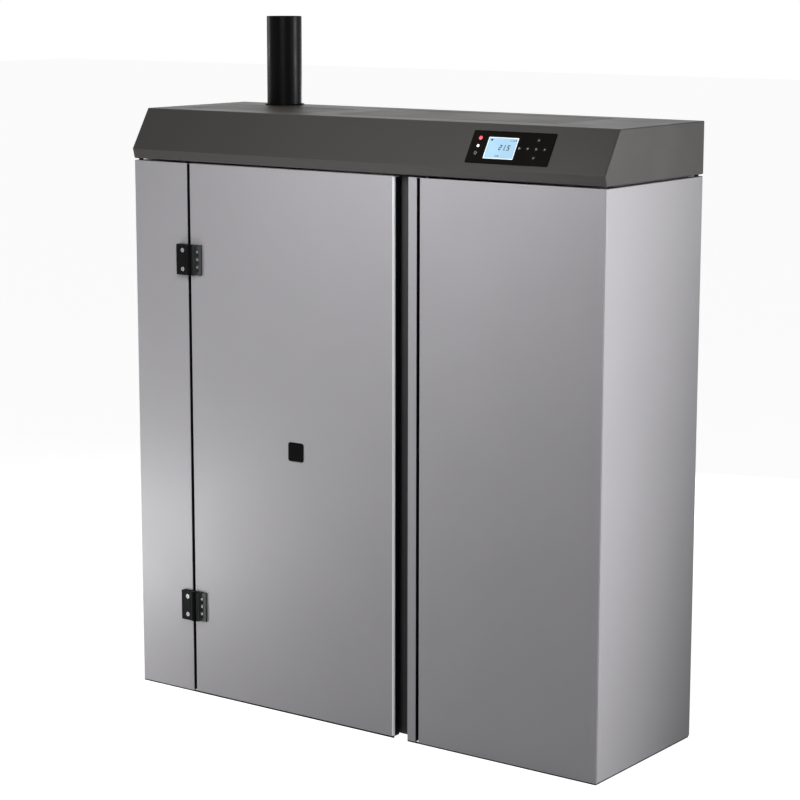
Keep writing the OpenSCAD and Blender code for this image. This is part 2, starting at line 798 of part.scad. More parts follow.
module firebox_door_handle() {
    color("#b7babd") seat() {
        rod_y([latch_x, in_door_y - 15, latch_z], 5, 15 + in_door_t);
        rod_y([latch_x, in_door_y - 15, latch_z], 10, 15 - fit);
        block([latch_x - 6, in_door_y - 5, latch_z - tongue_l], [12, 3, tongue_l]);
        block([latch_x - 95, in_door_y - 19, latch_z - 7], [103, 6, 14]);
    }
}

// Air pipe welded to the firebox's rear wall by its collar
module air_intake() {
    color("#7d8084") seat() difference() {
        union() {
            stub(air_x, air_z, air_d / 2, boiler_y2);
            rod_y([air_x, boiler_y2, air_z], air_d / 2 + air_collar, 3);
        }
        rod_y([air_x, boiler_y2 - cut, air_z], air_d / 2 - air_wall, back_y - boiler_y2 + 2 * cut);
    }
}

module burner_pot() {
    color("#3a3937") seat() difference() {
        block([pot_x, pot_y, fire_z], [pot, pot, pot_h]);
        block([pot_x + 6, pot_y + 6, fire_z + 6], [pot - 12, pot - 12, pot_h]);
        for (i = [-1 : 1]) for (j = [-1 : 1])
            rod_z([pot_x + pot / 2 + i * 22, pot_y + pot / 2 + j * 22, fire_z - cut], 4, 8);
    }
}

module igniter() {
    color("#c9c6bd") seat() rod_y([pot_x + pot / 2, pot_y + pot, fire_z + 25], 5,
        boiler_y2 - wall - pot_y - pot);
}

module ash_drawer() {
    w = in_w - 4;
    x = in_x + 2;
    z = ash_z + fit;
    front = boiler_y - fit;
    color("#5a5c5f") seat() {
        difference() {
            block([x, front - cut, z], [w, in_d - 8, ash_h - 25]);
            block([x + 1.5, front, z + 1.5], [w - 3, in_d - 8 - cut - 1.5, ash_h]);
        }
        block([boiler_x + 6, front - 5, ash_z - 3], [boiler_w - 12, 5, ash_h + 10]);
        for (dx = [-50, 50]) rod_y([boiler_x + boiler_w / 2 + dx, front - 24, ash_z + 75], 4, 20);
        rod_x([boiler_x + boiler_w / 2 - 60, front - 25, ash_z + 75], 5, 120);
    }
}

module heat_exchanger() {
    color("#6a6d70") seat() difference() {
        union() {
            difference() {
                block([boiler_x, boiler_y, exch_z], [boiler_w, boiler_depth, tube_h + smoke_h]);
                difference() {
                    block([boiler_x + 4, boiler_y + 4, exch_z + 8],
                        [boiler_w - 8, boiler_depth - 8, tube_h - 16]);
                    for (p = tube_xy) rod_z([p[0], p[1], exch_z], tube_r + 3, tube_h);
                }
                block([boiler_x + 4, boiler_y + 4, smoke_z],
                    [boiler_w - 8, boiler_depth - 8, smoke_h + cut]);
            }
            for (z = [return_z, flow_z]) stub(water_x, z, water_d / 2, boiler_y2 - cut);
        }
        for (p = tube_xy) rod_z([p[0], p[1], exch_z - cut], tube_r, tube_h + 2 * cut);
        rod_x([boiler_x - cut, fan_y, fan_z], 38, 4 + 2 * cut);
        for (z = [return_z, flow_z])
            rod_y([water_x, boiler_y2 - 4 - cut, z], water_d / 2 - 2.6, back_y - boiler_y2 + 4 + 2 * cut);
    }
}

module turbulators() {
    color("#9a9da0") seat() for (p = tube_xy) {
        block([p[0] - 18, p[1] - 0.75, exch_z + 40], [36, 1.5, tube_h - 40]);
        block([p[0] - tube_pitch[0] / 2 + 1, p[1] - 3, smoke_z], [tube_pitch[0] - 2, 6, 3]);
    }
}

module exchanger_cover() {
    color("#54575a") seat() {
        block([boiler_x, boiler_y, exch_top], [boiler_w, boiler_depth, 4]);
        for (dy = [60, boiler_depth - 60])
            rod_z([boiler_x + boiler_w / 2, boiler_y + dy, exch_top + 4], 13, 16);
    }
}

outlet_top = fan_z + fan_r + 26;
flue_z0 = fan_z + fan_r - 10;

module flue_fan_housing() {
    width = fan_x2 - fan_x1;
    socket = flue_d / 2 + 3;
    depth = flue_y + socket - fan_y + fan_r;
    wall = 2;
    neck = fan_inlet_w / 2 + 4;
    color("#8a8d90") seat() difference() {
        union() {
            block([fan_x1, fan_y - fan_r, fan_z - fan_r], [width, depth, 2 * fan_r]);
            block([fan_x2, fan_y - neck, fan_z - neck], [boiler_x - fan_x2, 2 * neck, 2 * neck]);
            rod_z([flue_x, flue_y, fan_z + fan_r - wall], socket, outlet_top - fan_z - fan_r + wall);
        }
        block([fan_x1 + wall, fan_y - fan_r + wall, fan_z - fan_r + wall],
            [width - 2 * wall, depth - 2 * wall, 2 * (fan_r - wall)]);
        rod_x([fan_x1 - cut, fan_y, fan_z], 7, wall + 2 * cut);
        block([fan_x2 - wall - cut, fan_y - fan_inlet_w / 2, fan_z - fan_inlet_w / 2],
            [boiler_x - fan_x2 + wall + 2 * cut, fan_inlet_w, fan_inlet_w]);
        rod_z([flue_x, flue_y, fan_z + fan_r - wall - cut], flue_d / 2 - flue_crimp + run,
            outlet_top - fan_z - fan_r + wall + 2 * cut);
    }
}

module fan_impeller() {
    x = fan_x1 + 10;
    color("#b4b7ba") seat() {
        rod_x([x, fan_y, fan_z], fan_r - 14, 2);
        rod_x([x, fan_y, fan_z], 12, 30);
        rod_x([x - 40, fan_y, fan_z], 4, 42);
        for (i = [0 : 7]) translate([x, fan_y, fan_z]) rotate([i * 45, 0, 0])
            block([0, 26, -1], [40, fan_r - 42, 2]);
    }
}

module fan_motor() {
    x = fan_x1;
    color("#2b2d30") seat() difference() {
        union() {
            rod_x([x - 58, fan_y, fan_z], 34, 58);
            rod_x([x - 4, fan_y, fan_z], 44, 4);
        }
        rod_x([x - 32, fan_y, fan_z], 4 + run, 40);
    }
}

flue_top = top_z + flue_rise;
collar_h = 3;
crimp = 0.4;

module flue_pipe() {
    color("#141414") seat() difference() {
        union() {
            rod_z([flue_x, flue_y, top_z + collar_h], flue_d / 2, flue_rise - collar_h);
            rod_z([flue_x, flue_y, flue_z0], flue_d / 2 - flue_crimp, top_z + collar_h - flue_z0);
        }
        rod_z([flue_x, flue_y, flue_z0 - cut], flue_d / 2 - flue_crimp - flue_t, flue_top - flue_z0);
        rod_z([flue_x, flue_y, top_z + collar_h + flue_t], flue_d / 2 - flue_t, flue_rise);
    }
}

module flue_collar() {
    color("#1a1a1a") seat() difference() {
        rod_z([flue_x, flue_y, top_z], flue_d / 2 + 5, collar_h);
        rod_z([flue_x, flue_y, top_z - cut], flue_d / 2 - flue_crimp + run, collar_h + 2 * cut);
    }
}

hop_t = 1.5;
hop_xz = [[throat_x, throat_z], [throat_x + throat_w, throat_z], [hop_x2, hop_shoulder],
    [hop_x2, hop_top], [hop_x1, hop_top], [hop_x1, hop_shoulder]];
hop_yz = [[feed_y - feed_r, throat_z], [feed_y + feed_r, throat_z], [hop_y2, hop_shoulder],
    [hop_y2, hop_top], [hop_y1, hop_top], [hop_y1, hop_shoulder]];

module hopper() {
    color("#9a9da1") seat() difference() {
        intersection() {
            along_y(hop_y1, hop_y2 - hop_y1, hop_xz);
            along_x(hop_x1, hop_x2 - hop_x1, hop_yz);
        }
        intersection() {
            along_y(hop_y1, hop_y2 - hop_y1, inset(hop_xz, hop_t));
            along_x(hop_x1, hop_x2 - hop_x1, inset(hop_yz, hop_t));
        }
        block([hop_x1 + hop_t, hop_y1 + hop_t, hop_top - 3],
            [hop_x2 - hop_x1 - 2 * hop_t, hop_y2 - hop_y1 - 2 * hop_t, 10]);
        block([throat_x + hop_t, feed_y - feed_r + hop_t, throat_z - cut],
            [throat_w - 2 * hop_t, 2 * feed_r - 2 * hop_t, 4]);
    }
}

module feed_tube() {
    color("#7d8084") seat() difference() {
        union() {
            rod_x([boiler_x2 - wall, feed_y, feed_z], feed_r, feed_x2 - boiler_x2 + wall);
            block([throat_x, feed_y - feed_r, feed_z], [throat_w, 2 * feed_r, throat_z - feed_z]);
        }
        rod_x([boiler_x2 - wall - cut, feed_y, feed_z], feed_r - 3, feed_x2 - boiler_x2 + wall + 2 * cut);
        block([throat_x + 3, feed_y - feed_r + 3, feed_z], [throat_w - 6, 2 * feed_r - 6, 80]);
    }
}

shaft_r = 8;

module auger() {
    x = boiler_x2 + 6;
    l = throat_x + throat_w - 4 - x;
    color("#a7aaad") seat() {
        rod_x([x, feed_y, feed_z], shaft_r, feed_x2 + 30 - x);
        translate([x, feed_y, feed_z]) rotate([0, 90, 0])
            linear_extrude(height = l, twist = -360 * l / auger_pitch,
                slices = 12 * l / auger_pitch, segments = 4)
            translate([shaft_r - 0.6, -1.5]) square([auger_r - shaft_r + 0.6, 3]);
    }
}

module gear_motor() {
    color("#3f4347") seat() difference() {
        union() {
            block([feed_x2, feed_y - 42, feed_z - 42], [56, 84, 84]);
            rod_x([feed_x2 + 56, feed_y, feed_z], 32, 72);
        }
        rod_x([feed_x2 - cut, feed_y, feed_z], shaft_r + run, 31 + cut);
    }
}

rocker_w = 20;
rocker_h = 13;
rocker_y = body_d - 3;
rocker_z = inlet_z + 14;
rocker_tilt = 8;

module mains_inlet() {
    color("#202022") seat() difference() {
        union() {
            block([inlet_x - inlet_w / 2 + fit, body_d - 26, inlet_z - inlet_h / 2 + fit],
                [inlet_w - 2 * fit, 26, inlet_h - 2 * fit]);
            block([inlet_x - inlet_w / 2 - 3, body_d, inlet_z - inlet_h / 2 - 3],
                [inlet_w + 6, 2, inlet_h + 6]);
        }
        difference() {
            block([inlet_x - 13, body_d - 18, inlet_z - 24], [26, 30, 18]);
            for (dx = [-7, 0, 7]) block([inlet_x + dx - 1, body_d - 20, inlet_z - 17], [2, 16, 4]);
        }
        block([inlet_x - rocker_w / 2 - fit, body_d - 14, rocker_z - rocker_h / 2 - 1],
            [rocker_w + 2 * fit, 30, rocker_h + 2]);
        rod_x([inlet_x - rocker_w / 2 - 2, rocker_y, rocker_z], 1.5 + run, rocker_w + 4);
    }
}

module mains_switch() {
    color("#141416") seat() translate([inlet_x, rocker_y, rocker_z]) rotate([-rocker_tilt, 0, 0]) {
        block([-rocker_w / 2, -4, -rocker_h / 2], [rocker_w, 9, rocker_h]);
        rod_x([-rocker_w / 2 - 1.5, 0, 0], 1.5, rocker_w + 3);
    }
}

base_frame();
top_rail();
levelling_feet();
left_side_panel();
right_side_panel();
rear_panel();
left_front_strip();
right_front_panel();
door_stile();
handle_channel();
partition();
cover_shell();
cover_spacers();
casing_screws();
service_lid();
hopper_lid();
lid_pins();
outer_door();
door_stiffener();
door_badge();
hinge_fixed_leaves();
hinge_door_leaves();
hinge_pins();
hinge_fixed_screws();
hinge_door_screws();
door_magnets();
control_fascia();
display();
status_lamps();
control_board();
power_key();
back_key();
left_key();
right_key();
up_key();
down_key();
ok_key();
firebox();
firebox_door();
firebox_door_board();
firebox_door_seal();
firebox_door_handle();
air_intake();
burner_pot();
igniter();
ash_drawer();
heat_exchanger();
turbulators();
exchanger_cover();
flue_fan_housing();
fan_impeller();
fan_motor();
flue_pipe();
flue_collar();
hopper();
feed_tube();
auger();
gear_motor();
mains_inlet();
mains_switch();
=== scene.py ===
import json
import math

import bmesh
import bpy
from bpy.props import FloatProperty, FloatVectorProperty, IntProperty, PointerProperty
from mathutils import Matrix, Vector

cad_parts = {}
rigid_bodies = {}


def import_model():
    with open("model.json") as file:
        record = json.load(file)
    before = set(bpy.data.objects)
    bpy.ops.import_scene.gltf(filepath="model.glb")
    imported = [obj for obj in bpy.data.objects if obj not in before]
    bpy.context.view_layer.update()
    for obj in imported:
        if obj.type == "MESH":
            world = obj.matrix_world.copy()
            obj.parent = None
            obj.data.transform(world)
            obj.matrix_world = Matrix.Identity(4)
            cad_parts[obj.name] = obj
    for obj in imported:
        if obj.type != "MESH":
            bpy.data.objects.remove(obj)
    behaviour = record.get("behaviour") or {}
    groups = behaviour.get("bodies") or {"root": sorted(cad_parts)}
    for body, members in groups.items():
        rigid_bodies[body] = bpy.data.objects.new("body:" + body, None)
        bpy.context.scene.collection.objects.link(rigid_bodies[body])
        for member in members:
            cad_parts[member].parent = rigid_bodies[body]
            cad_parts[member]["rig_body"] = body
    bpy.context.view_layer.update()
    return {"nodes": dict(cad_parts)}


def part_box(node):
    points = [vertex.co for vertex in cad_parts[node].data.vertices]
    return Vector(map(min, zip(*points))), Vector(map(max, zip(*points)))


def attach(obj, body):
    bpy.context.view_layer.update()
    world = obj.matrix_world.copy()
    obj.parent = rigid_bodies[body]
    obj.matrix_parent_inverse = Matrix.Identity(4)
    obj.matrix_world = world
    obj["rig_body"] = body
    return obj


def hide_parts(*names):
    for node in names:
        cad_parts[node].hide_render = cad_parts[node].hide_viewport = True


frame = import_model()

bl_info = {
    "name": "Pellet Stove Dressing",
    "version": (1, 0, 0),
    "blender": (4, 5, 0),
    "location": "3D View > Sidebar > Pellet Stove",
    "description": "Finishes, fasteners, control panel, studio and camera of a pellet stove",
    "category": "Object",
}

MM = 0.001
NEAR = 1e-5  # points that are closer than this, in metres, lie in one plane


# ---------------------------------------------------------------- values

def linear(code):
    """An sRGB hex colour as linear red, green and blue."""
    parts = [int(code[i:i + 2], 16) / 255 for i in (1, 3, 5)]
    return tuple(p / 12.92 if p <= 0.04045 else ((p + 0.055) / 1.055) ** 2.4 for p in parts)


def length(name, description, default):
    return FloatProperty(name=name, description=description, default=default * MM, min=0.0,
                         precision=5, subtype="DISTANCE", unit="LENGTH")


def colour(name, description, default):
    return FloatVectorProperty(name=name, description=description, default=linear(default),
                               size=3, min=0.0, max=1.0, subtype="COLOR")


def power(name, description, default):
    return FloatProperty(name=name, description=description, default=default, min=0.0,
                         unit="POWER")


class CasingSettings(bpy.types.PropertyGroup):
    fold: length("Fold radius", "Outer radius of a bent sheet edge", 1.8)
    narrow_fold: length("Narrow fold radius", "Outer radius of the edges of strip and stile", 1.0)
    corner: length("Corner radius", "Outer radius of the cabinet's front right corner", 2.6)
    grip: length("Grip radius", "Outer radius of the door's grip edge", 6.0)
    cut: length("Cut radius", "Rounding of a cut sheet edge", 0.35)
    cover_fold: length("Cover fold radius", "Outer radius of the cover's bent edges", 2.6)
    panel: colour("Panels", "Powder coat of the door and the panels", "#a7a5a9")
    cover: colour("Cover", "Textured powder coat of the top cover", "#3d3b3a")
    lids: colour("Lids", "Textured powder coat of the two lids", "#403e3a")
    flue: colour("Flue", "Heatproof enamel of the flue pipe", "#070707")


class HingeSettings(bpy.types.PropertyGroup):
    edge: length("Leaf edge", "Rounding of the moulded leaves", 0.9)
    plate: length("Plate width", "Width of the coated plate of the door's leaf", 16.3)
    body: colour("Leaves", "Glass-filled polyamide of the hinge leaves", "#0d0e0f")
    screws: colour("Screws", "Zinc-plated screws", "#8a8b8d")


class ControlSettings(bpy.types.PropertyGroup):
    corner: length("Plate corner", "Corner radius of the front plate", 3.0)
    digit_h: length("Digit height", "Height of the large digits", 12.5)
    clock_h: length("Clock height", "Height of the small digits", 3.6)
    frame_w: length("Screen border", "Width of the screen's white border", 1.3)
    red_r: length("Red lamp radius", "Radius of the red lamp's lens", 4.4)
    white_r: length("White lamp radius", "Radius of the white lamp's lens", 3.2)
    plate: colour("Plate", "Printed polycarbonate of the front plate", "#14120f")
    screen: colour("Screen", "Backlit liquid crystal screen", "#a9d2ee")
    marks: colour("Marks", "Printed marks on the keys", "#a9a9a2")


class BoilerSettings(bpy.types.PropertyGroup):
    edge: length("Casting edge", "Rounding of cast and welded parts", 1.5)
    rope_r: length("Strand radius", "Radius of one strand of the rope seal", 1.3)
    rope_pitch: length("Rope pitch", "Length of one turn of the rope's strands", 14.0)
    strands: IntProperty(name="Strands", description="Strands in the rope seal", default=3,
                         min=2, max=6)
    iron: colour("Cast iron", "Black cast iron of the firebox door and the pot", "#2d2d2e")
    steel: colour("Boiler steel", "Heatproof paint of the boiler body", "#5a5d60")


class StudioSettings(bpy.types.PropertyGroup):
    left: power("Left light", "Soft light at the front left", 8.8)
    low: power("Low light", "Small soft light low at the left", 6.3)
    front: power("Front light", "Soft light close before the door's top", 8.7)
    right: power("Right light", "Large soft light at the right side", 84.0)
    edge: power("Edge light", "Soft light behind at the right", 14.0)
    back: power("Back light", "Soft light behind at the left", 25.0)
    pipe_right: power("Right pipe light", "Small light for the pipe's right line", 13.0)
    pipe_left: power("Left pipe light", "Small light for the pipe's left line", 1.7)
    fill: FloatProperty(name="Fill", description="Strength of the room's fill light",
                        default=0.02, min=0.0, max=1.0, subtype="FACTOR")
    floor: colour("Floor", "Pale studio floor", "#b4b4b4")
    lens: FloatProperty(name="Lens", description="Focal length of the camera",
                        default=105.41, min=10.0, unit="CAMERA")


# ---------------------------------------------------------------- materials

def add(tree, kind, inputs=(), **settings):
    """Adds one node. Inputs are values or sockets by name or index, settings are properties."""
    made = tree.nodes.new(kind)
    for key, value in settings.items():
        setattr(made, key, value)
    for key, value in dict(inputs).items():
        if isinstance(value, bpy.types.NodeSocket):
            tree.links.new(value, made.inputs[key])
        else:
            made.inputs[key].default_value = value
    return made


def arrange(tree):
    """Lays a tree's nodes out in columns, from the last node back to the first."""
    depth = {made: 0 for made in tree.nodes}
    for _ in tree.nodes:
        for link in tree.links:
            depth[link.from_node] = max(depth[link.from_node], depth[link.to_node] + 1)
    lowest = {}
    for made, column in depth.items():
        line = lowest[column] = lowest.get(column, -1) + 1
        made.location = (-240 * column, -260 * line)


def new_material(name):
    material = bpy.data.materials.new(name)
    material.use_nodes = True
    material.node_tree.nodes.clear()
    return material, material.node_tree


def seen_ray(tree):
    """1 for a ray that is seen directly, in a gloss or through glass, and 0 for the others."""
    ray = add(tree, "ShaderNodeLightPath").outputs
    seen = ray["Is Camera Ray"]
    for kind in ("Is Glossy Ray", "Is Transmission Ray"):
        seen = add(tree, "ShaderNodeMath", {0: seen, 1: ray[kind]},
                   operation="MAXIMUM").outputs[0]
    return seen


def finish(name, base, roughness, grain, relief, patch, tint, metallic=0.0, gloss=0.04,
           stretch=(1, 1, 1), sheen=0.5):
    """A surface with a grain in its relief and colour and broad patches in its gloss.

    Grain, relief and patch are real sizes in millimetres, tint and gloss say how far the
    colour and the roughness vary, and sheen is the strength of the highlights.
    """
    material, tree = new_material(name)
    base = linear(base) if isinstance(base, str) else tuple(base)
    place = add(tree, "ShaderNodeTexCoord").outputs["Object"]
    drawn = add(tree, "ShaderNodeMapping", {"Vector": place, "Scale": stretch}).outputs[0]
    fine = add(tree, "ShaderNodeTexNoise",
               {"Vector": drawn, "Scale": 1 / (grain * MM), "Detail": 2.0}).outputs[0]
    broad = add(tree, "ShaderNodeTexNoise",
                {"Vector": place, "Scale": 1 / (patch * MM), "Detail": 3.0}).outputs[0]
    both = add(tree, "ShaderNodeMath", {0: fine, 1: broad}, operation="ADD").outputs[0]
    share = add(tree, "ShaderNodeMapRange", {0: both, 1: 0.6, 2: 1.4}).outputs[0]
    tone = add(tree, "ShaderNodeMix",
               {0: share,
                6: tuple(c * (1 - tint) for c in base) + (1.0,),
                7: tuple(min(1.0, c * (1 + tint)) for c in base) + (1.0,)},
               data_type="RGBA").outputs[2]
    rough = add(tree, "ShaderNodeMapRange",
                {0: broad, 1: 0.3, 2: 0.7, 3: roughness - gloss, 4: roughness + gloss}).outputs[0]
    bump = add(tree, "ShaderNodeBump", {"Height": fine, "Distance": relief * MM}).outputs[0]
    shader = add(tree, "ShaderNodeBsdfPrincipled",
                 {"Base Color": tone, "Metallic": metallic, "Roughness": rough, "Normal": bump,
                  "Specular IOR Level": sheen}).outputs[0]
    add(tree, "ShaderNodeOutputMaterial", {"Surface": shader})
    arrange(tree)
    return material


def glow(name, base, light, roughness, strength, patch):
    """A lit lens or screen, a little brighter in places than in others."""
    material, tree = new_material(name)
    place = add(tree, "ShaderNodeTexCoord").outputs["Object"]
    broad = add(tree, "ShaderNodeTexNoise",
                {"Vector": place, "Scale": 1 / (patch * MM), "Detail": 1.0}).outputs[0]
    level = add(tree, "ShaderNodeMapRange",
                {0: broad, 1: 0.3, 2: 0.7, 3: strength * 0.9, 4: strength * 1.1}).outputs[0]
    shader = add(tree, "ShaderNodeBsdfPrincipled",
                 {"Base Color": tuple(base) + (1.0,), "Emission Color": tuple(light) + (1.0,),
                  "Emission Strength": level, "Roughness": roughness,
                  "Coat Weight": 0.6}).outputs[0]
    add(tree, "ShaderNodeOutputMaterial", {"Surface": shader})
    arrange(tree)
    return material


def material_of(name):
    """The finish with that name, made when it is first asked for."""
    if name in bpy.data.materials:
        return bpy.data.materials[name]
    casing, hinge = bpy.context.scene.stove_casing, bpy.context.scene.stove_hinge
    control, boiler = bpy.context.scene.stove_control, bpy.context.scene.stove_boiler
    recipes = {
        # Sheet steel with sprayed aluminium-grey powder: satin, a faint flake, a slight
        # orange peel. The flake is 0.1 mm, drawn at 2.4 mm so that it shows at all.
        "steel_metallic_powder_coat": dict(
            base=casing.panel, roughness=0.4, grain=2.4, relief=0.012, patch=160, tint=0.035,
            gloss=0.03, sheen=0.45),
        # The same steel where it faces inward, with thinner and duller powder
        "steel_thin_powder_coat": dict(
            base="#8e9092", metallic=0.25, roughness=0.5, grain=2.4, relief=0.02, patch=120,
            tint=0.05),
        # Anthracite fine-texture powder: matt, with a leathery grain of about 1 mm that
        # is drawn at 2 mm
        "steel_textured_powder_coat": dict(
            base=casing.cover, roughness=0.43, grain=2.0, relief=0.05, patch=140, tint=0.06,
            sheen=0.22),
        # The same powder on the lids, with fainter highlights
        "lid_textured_powder_coat": dict(
            base=casing.lids, roughness=0.45, grain=2.0, relief=0.05, patch=140, tint=0.06,
            sheen=0.12),
        # Grip channel sheet in dark grey: painted shade of the deep recess, which little light
        # reaches
        "channel_sheet_painted_shade": dict(
            base="#454446", roughness=0.5, grain=2.0, relief=0.03, patch=90, tint=0.08, sheen=0.25),
        # Black rubbery profile on the door's grip edge; the same black in the seams and under the
        # panels is painted shade: dull, no highlight
        "black_profile_painted_shade": dict(
            base="#0d0d0e", roughness=0.6, grain=1.5, relief=0.02, patch=60, tint=0.1, sheen=0.06),
        # Pale satin strip over the door's rounded grip edge, drawn upward: a painted highlight
        "pale_strip_painted_highlight": dict(
            base="#e2e2e4", metallic=0.35, roughness=0.45, grain=1.0, relief=0.003, patch=50,
            tint=0.03, stretch=(1, 1, 0.05)),
        # Cast acrylic plate, black all through: a smooth deep black
        "acrylic_black_polished": dict(
            base="#060606", roughness=0.3, grain=2.0, relief=0.002, patch=40, tint=0.1, sheen=0.02),
        # Stove pipe enamel, baked: satin black, slightly uneven along the pipe
        "steel_baked_black_enamel": dict(
            base=casing.flue, roughness=0.34, grain=1.6, relief=0.015, patch=60, tint=0.15,
            gloss=0.06, stretch=(1, 1, 0.25), sheen=0.04),
        # Hot-dip zinc: grey with spangles a centimetre or two across
        "steel_galvanised_rolled": dict(
            base="#9b9ea1", metallic=0.85, roughness=0.42, grain=9.0, relief=0.01, patch=22,
            tint=0.16, gloss=0.12),
        # Heatproof paint on welded plate: dull, a little rough
        "steel_heatproof_paint": dict(
            base=boiler.steel, metallic=0.15, roughness=0.6, grain=2.5, relief=0.05, patch=70,
            tint=0.12, gloss=0.08),
        # Sand-cast iron: granular, with soot that gathers in patches
        "cast_iron_sand_cast": dict(
            base=boiler.iron, metallic=0.35, roughness=0.6, grain=3.0, relief=0.22, patch=45,
            tint=0.25, gloss=0.1),
        # Pressed vermiculite board: pale, flaky and dry
        "vermiculite_pressed": dict(
            base="#b29b78", roughness=0.92, grain=3.5, relief=0.35, patch=30, tint=0.22,
            gloss=0.03),
        # Glass-fibre rope: off-white strands
        "glass_fibre_braided": dict(
            base="#b9b4a8", roughness=0.9, grain=0.8, relief=0.08, patch=20, tint=0.16),
        # Stainless rod and sheet, brushed along its length
        "stainless_steel_brushed": dict(
            base="#b9b8b5", metallic=1.0, roughness=0.3, grain=1.2, relief=0.004, patch=40,
            tint=0.05, gloss=0.05, stretch=(1, 1, 0.06)),
        # Die-cast aluminium: bright grey, matt, a fine grain
        "aluminium_die_cast": dict(
            base="#a5a7a8", metallic=0.9, roughness=0.46, grain=1.5, relief=0.03, patch=35,
            tint=0.08, gloss=0.07),
        # Zinc-plated screws and pins: bright, slightly mottled
        "steel_zinc_plated": dict(
            base=hinge.screws, metallic=0.75, roughness=0.34, grain=1.2, relief=0.01, patch=6,
            tint=0.08, gloss=0.08),
        # Glass-filled polyamide: black with a dull moulded skin
        "polyamide_glass_filled_moulded": dict(
            base=hinge.body, roughness=0.42, grain=1.2, relief=0.02, patch=25, tint=0.12,
            gloss=0.05, sheen=0.04),
        # Die-cast zinc under a dark grey coat: the plate of the door leaf, a little lighter
        "zinc_die_cast_coated": dict(
            base="#393b3a", roughness=0.45, grain=1.2, relief=0.02, patch=25, tint=0.12,
            gloss=0.05, sheen=0.25),
        # Moulded ABS with a spark-eroded texture
        "abs_moulded_black": dict(
            base="#1d1d1f", roughness=0.45, grain=1.0, relief=0.02, patch=20, tint=0.1),
        # Rubber, matt and slightly dusty
        "rubber_moulded": dict(
            base="#1b1b1b", roughness=0.75, grain=1.5, relief=0.04, patch=18, tint=0.18),
        # Printed polycarbonate foil: glossy black-brown with a hair-fine grain
        "polycarbonate_printed_gloss": dict(
            base=control.plate, roughness=0.22, grain=1.5, relief=0.004, patch=70, tint=0.2,
            sheen=0.02),
        # Silicone key caps: a little duller than the plate
        "silicone_moulded_keys": dict(
            base="#1c1a18", roughness=0.5, grain=0.8, relief=0.01, patch=12, tint=0.12, sheen=0.03),
        # Screen-printed ink: flat light grey
        "ink_printed_grey": dict(
            base=control.marks, roughness=0.5, grain=0.6, relief=0.004, patch=8, tint=0.06),
        # Liquid crystal that is switched on: blue-black bars
        "liquid_crystal_dark": dict(
            base="#14222d", roughness=0.4, grain=0.6, relief=0.002, patch=8, tint=0.08, sheen=0.05),
        # Circuit board under green solder resist
        "glass_epoxy_solder_resist": dict(
            base="#2c6a3e", roughness=0.35, grain=2.0, relief=0.03, patch=14, tint=0.2),
        # Sintered ferrite magnet: charcoal, slightly shiny
        "ferrite_sintered": dict(
            base="#343436", metallic=0.3, roughness=0.5, grain=1.0, relief=0.02, patch=12,
            tint=0.1),
    }
    return finish(name, **recipes[name])


# The finish of each CAD node that is carried over or replaced by a shape of its own
FINISHES = {
    "steel_metallic_powder_coat": (
        "left_side_panel", "right_side_panel", "left_front_strip", "right_front_panel",
        "door_stile", "outer_door"),
    "steel_thin_powder_coat": ("rear_panel", "partition", "door_stiffener"),
    "steel_textured_powder_coat": ("cover_shell",),
    "lid_textured_powder_coat": ("service_lid", "hopper_lid"),
    "channel_sheet_painted_shade": ("handle_channel",),
    "acrylic_black_polished": ("door_badge",),
    "steel_baked_black_enamel": ("flue_pipe", "flue_collar"),
    "steel_galvanised_rolled": ("base_frame", "top_rail", "hopper", "ash_drawer"),
    "steel_heatproof_paint": (
        "firebox", "heat_exchanger", "exchanger_cover", "feed_tube", "air_intake"),
    "cast_iron_sand_cast": ("firebox_door", "burner_pot"),
    "vermiculite_pressed": ("firebox_door_board",),
    "glass_fibre_braided": ("firebox_door_seal",),
    "stainless_steel_brushed": (
        "firebox_door_handle", "turbulators", "igniter", "auger"),
    "aluminium_die_cast": ("flue_fan_housing", "fan_impeller", "gear_motor"),
    "steel_zinc_plated": (
        "hinge_pins", "lid_pins", "hinge_fixed_screws", "hinge_door_screws", "casing_screws"),
    "polyamide_glass_filled_moulded": ("hinge_fixed_leaves", "hinge_door_leaves"),
    "abs_moulded_black": ("fan_motor", "mains_inlet", "mains_switch"),
    "rubber_moulded": ("levelling_feet", "cover_spacers"),
    "polycarbonate_printed_gloss": ("control_fascia",),
    "silicone_moulded_keys": (
        "power_key", "back_key", "left_key", "right_key", "up_key", "down_key", "ok_key"),
    "glass_epoxy_solder_resist": ("control_board",),
    "ferrite_sintered": ("door_magnets",),
}
FINISH_OF = {node: name for name, nodes in FINISHES.items() for node in nodes}


# ---------------------------------------------------------------- shapes

def body_of(node):
    return frame["nodes"][node]["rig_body"]


def merged(node):
    """A CAD node's solid as a bmesh, its triangles joined into flat faces."""
    source = frame["nodes"][node].data
    bm = bmesh.new()
    corners = [bm.verts.new(v.co) for v in source.vertices]
    for face in source.polygons:
        bm.faces.new([corners[i] for i in face.vertices])
    bmesh.ops.remove_doubles(bm, verts=bm.verts, dist=2e-6)
    bmesh.ops.dissolve_degenerate(bm, edges=bm.edges, dist=1e-7)
    bmesh.ops.dissolve_limit(bm, angle_limit=math.radians(0.4), verts=bm.verts, edges=bm.edges)
    return bm


def islands(node):
    """The low and high corner of each separate solid of a CAD node."""
    bm = merged(node)
    left, boxes = set(bm.verts), []
    while left:
        stack, found = [left.pop()], []
        while stack:
            vert = stack.pop()
            found.append(vert.co.copy())
            for edge in vert.link_edges:
                other = edge.other_vert(vert)
                if other in left:
                    left.discard(other)
                    stack.append(other)
        boxes.append((Vector(map(min, zip(*found))), Vector(map(max, zip(*found)))))
    bm.free()
    return sorted(boxes, key=lambda box: tuple(round(c, 5) for c in box[0]))


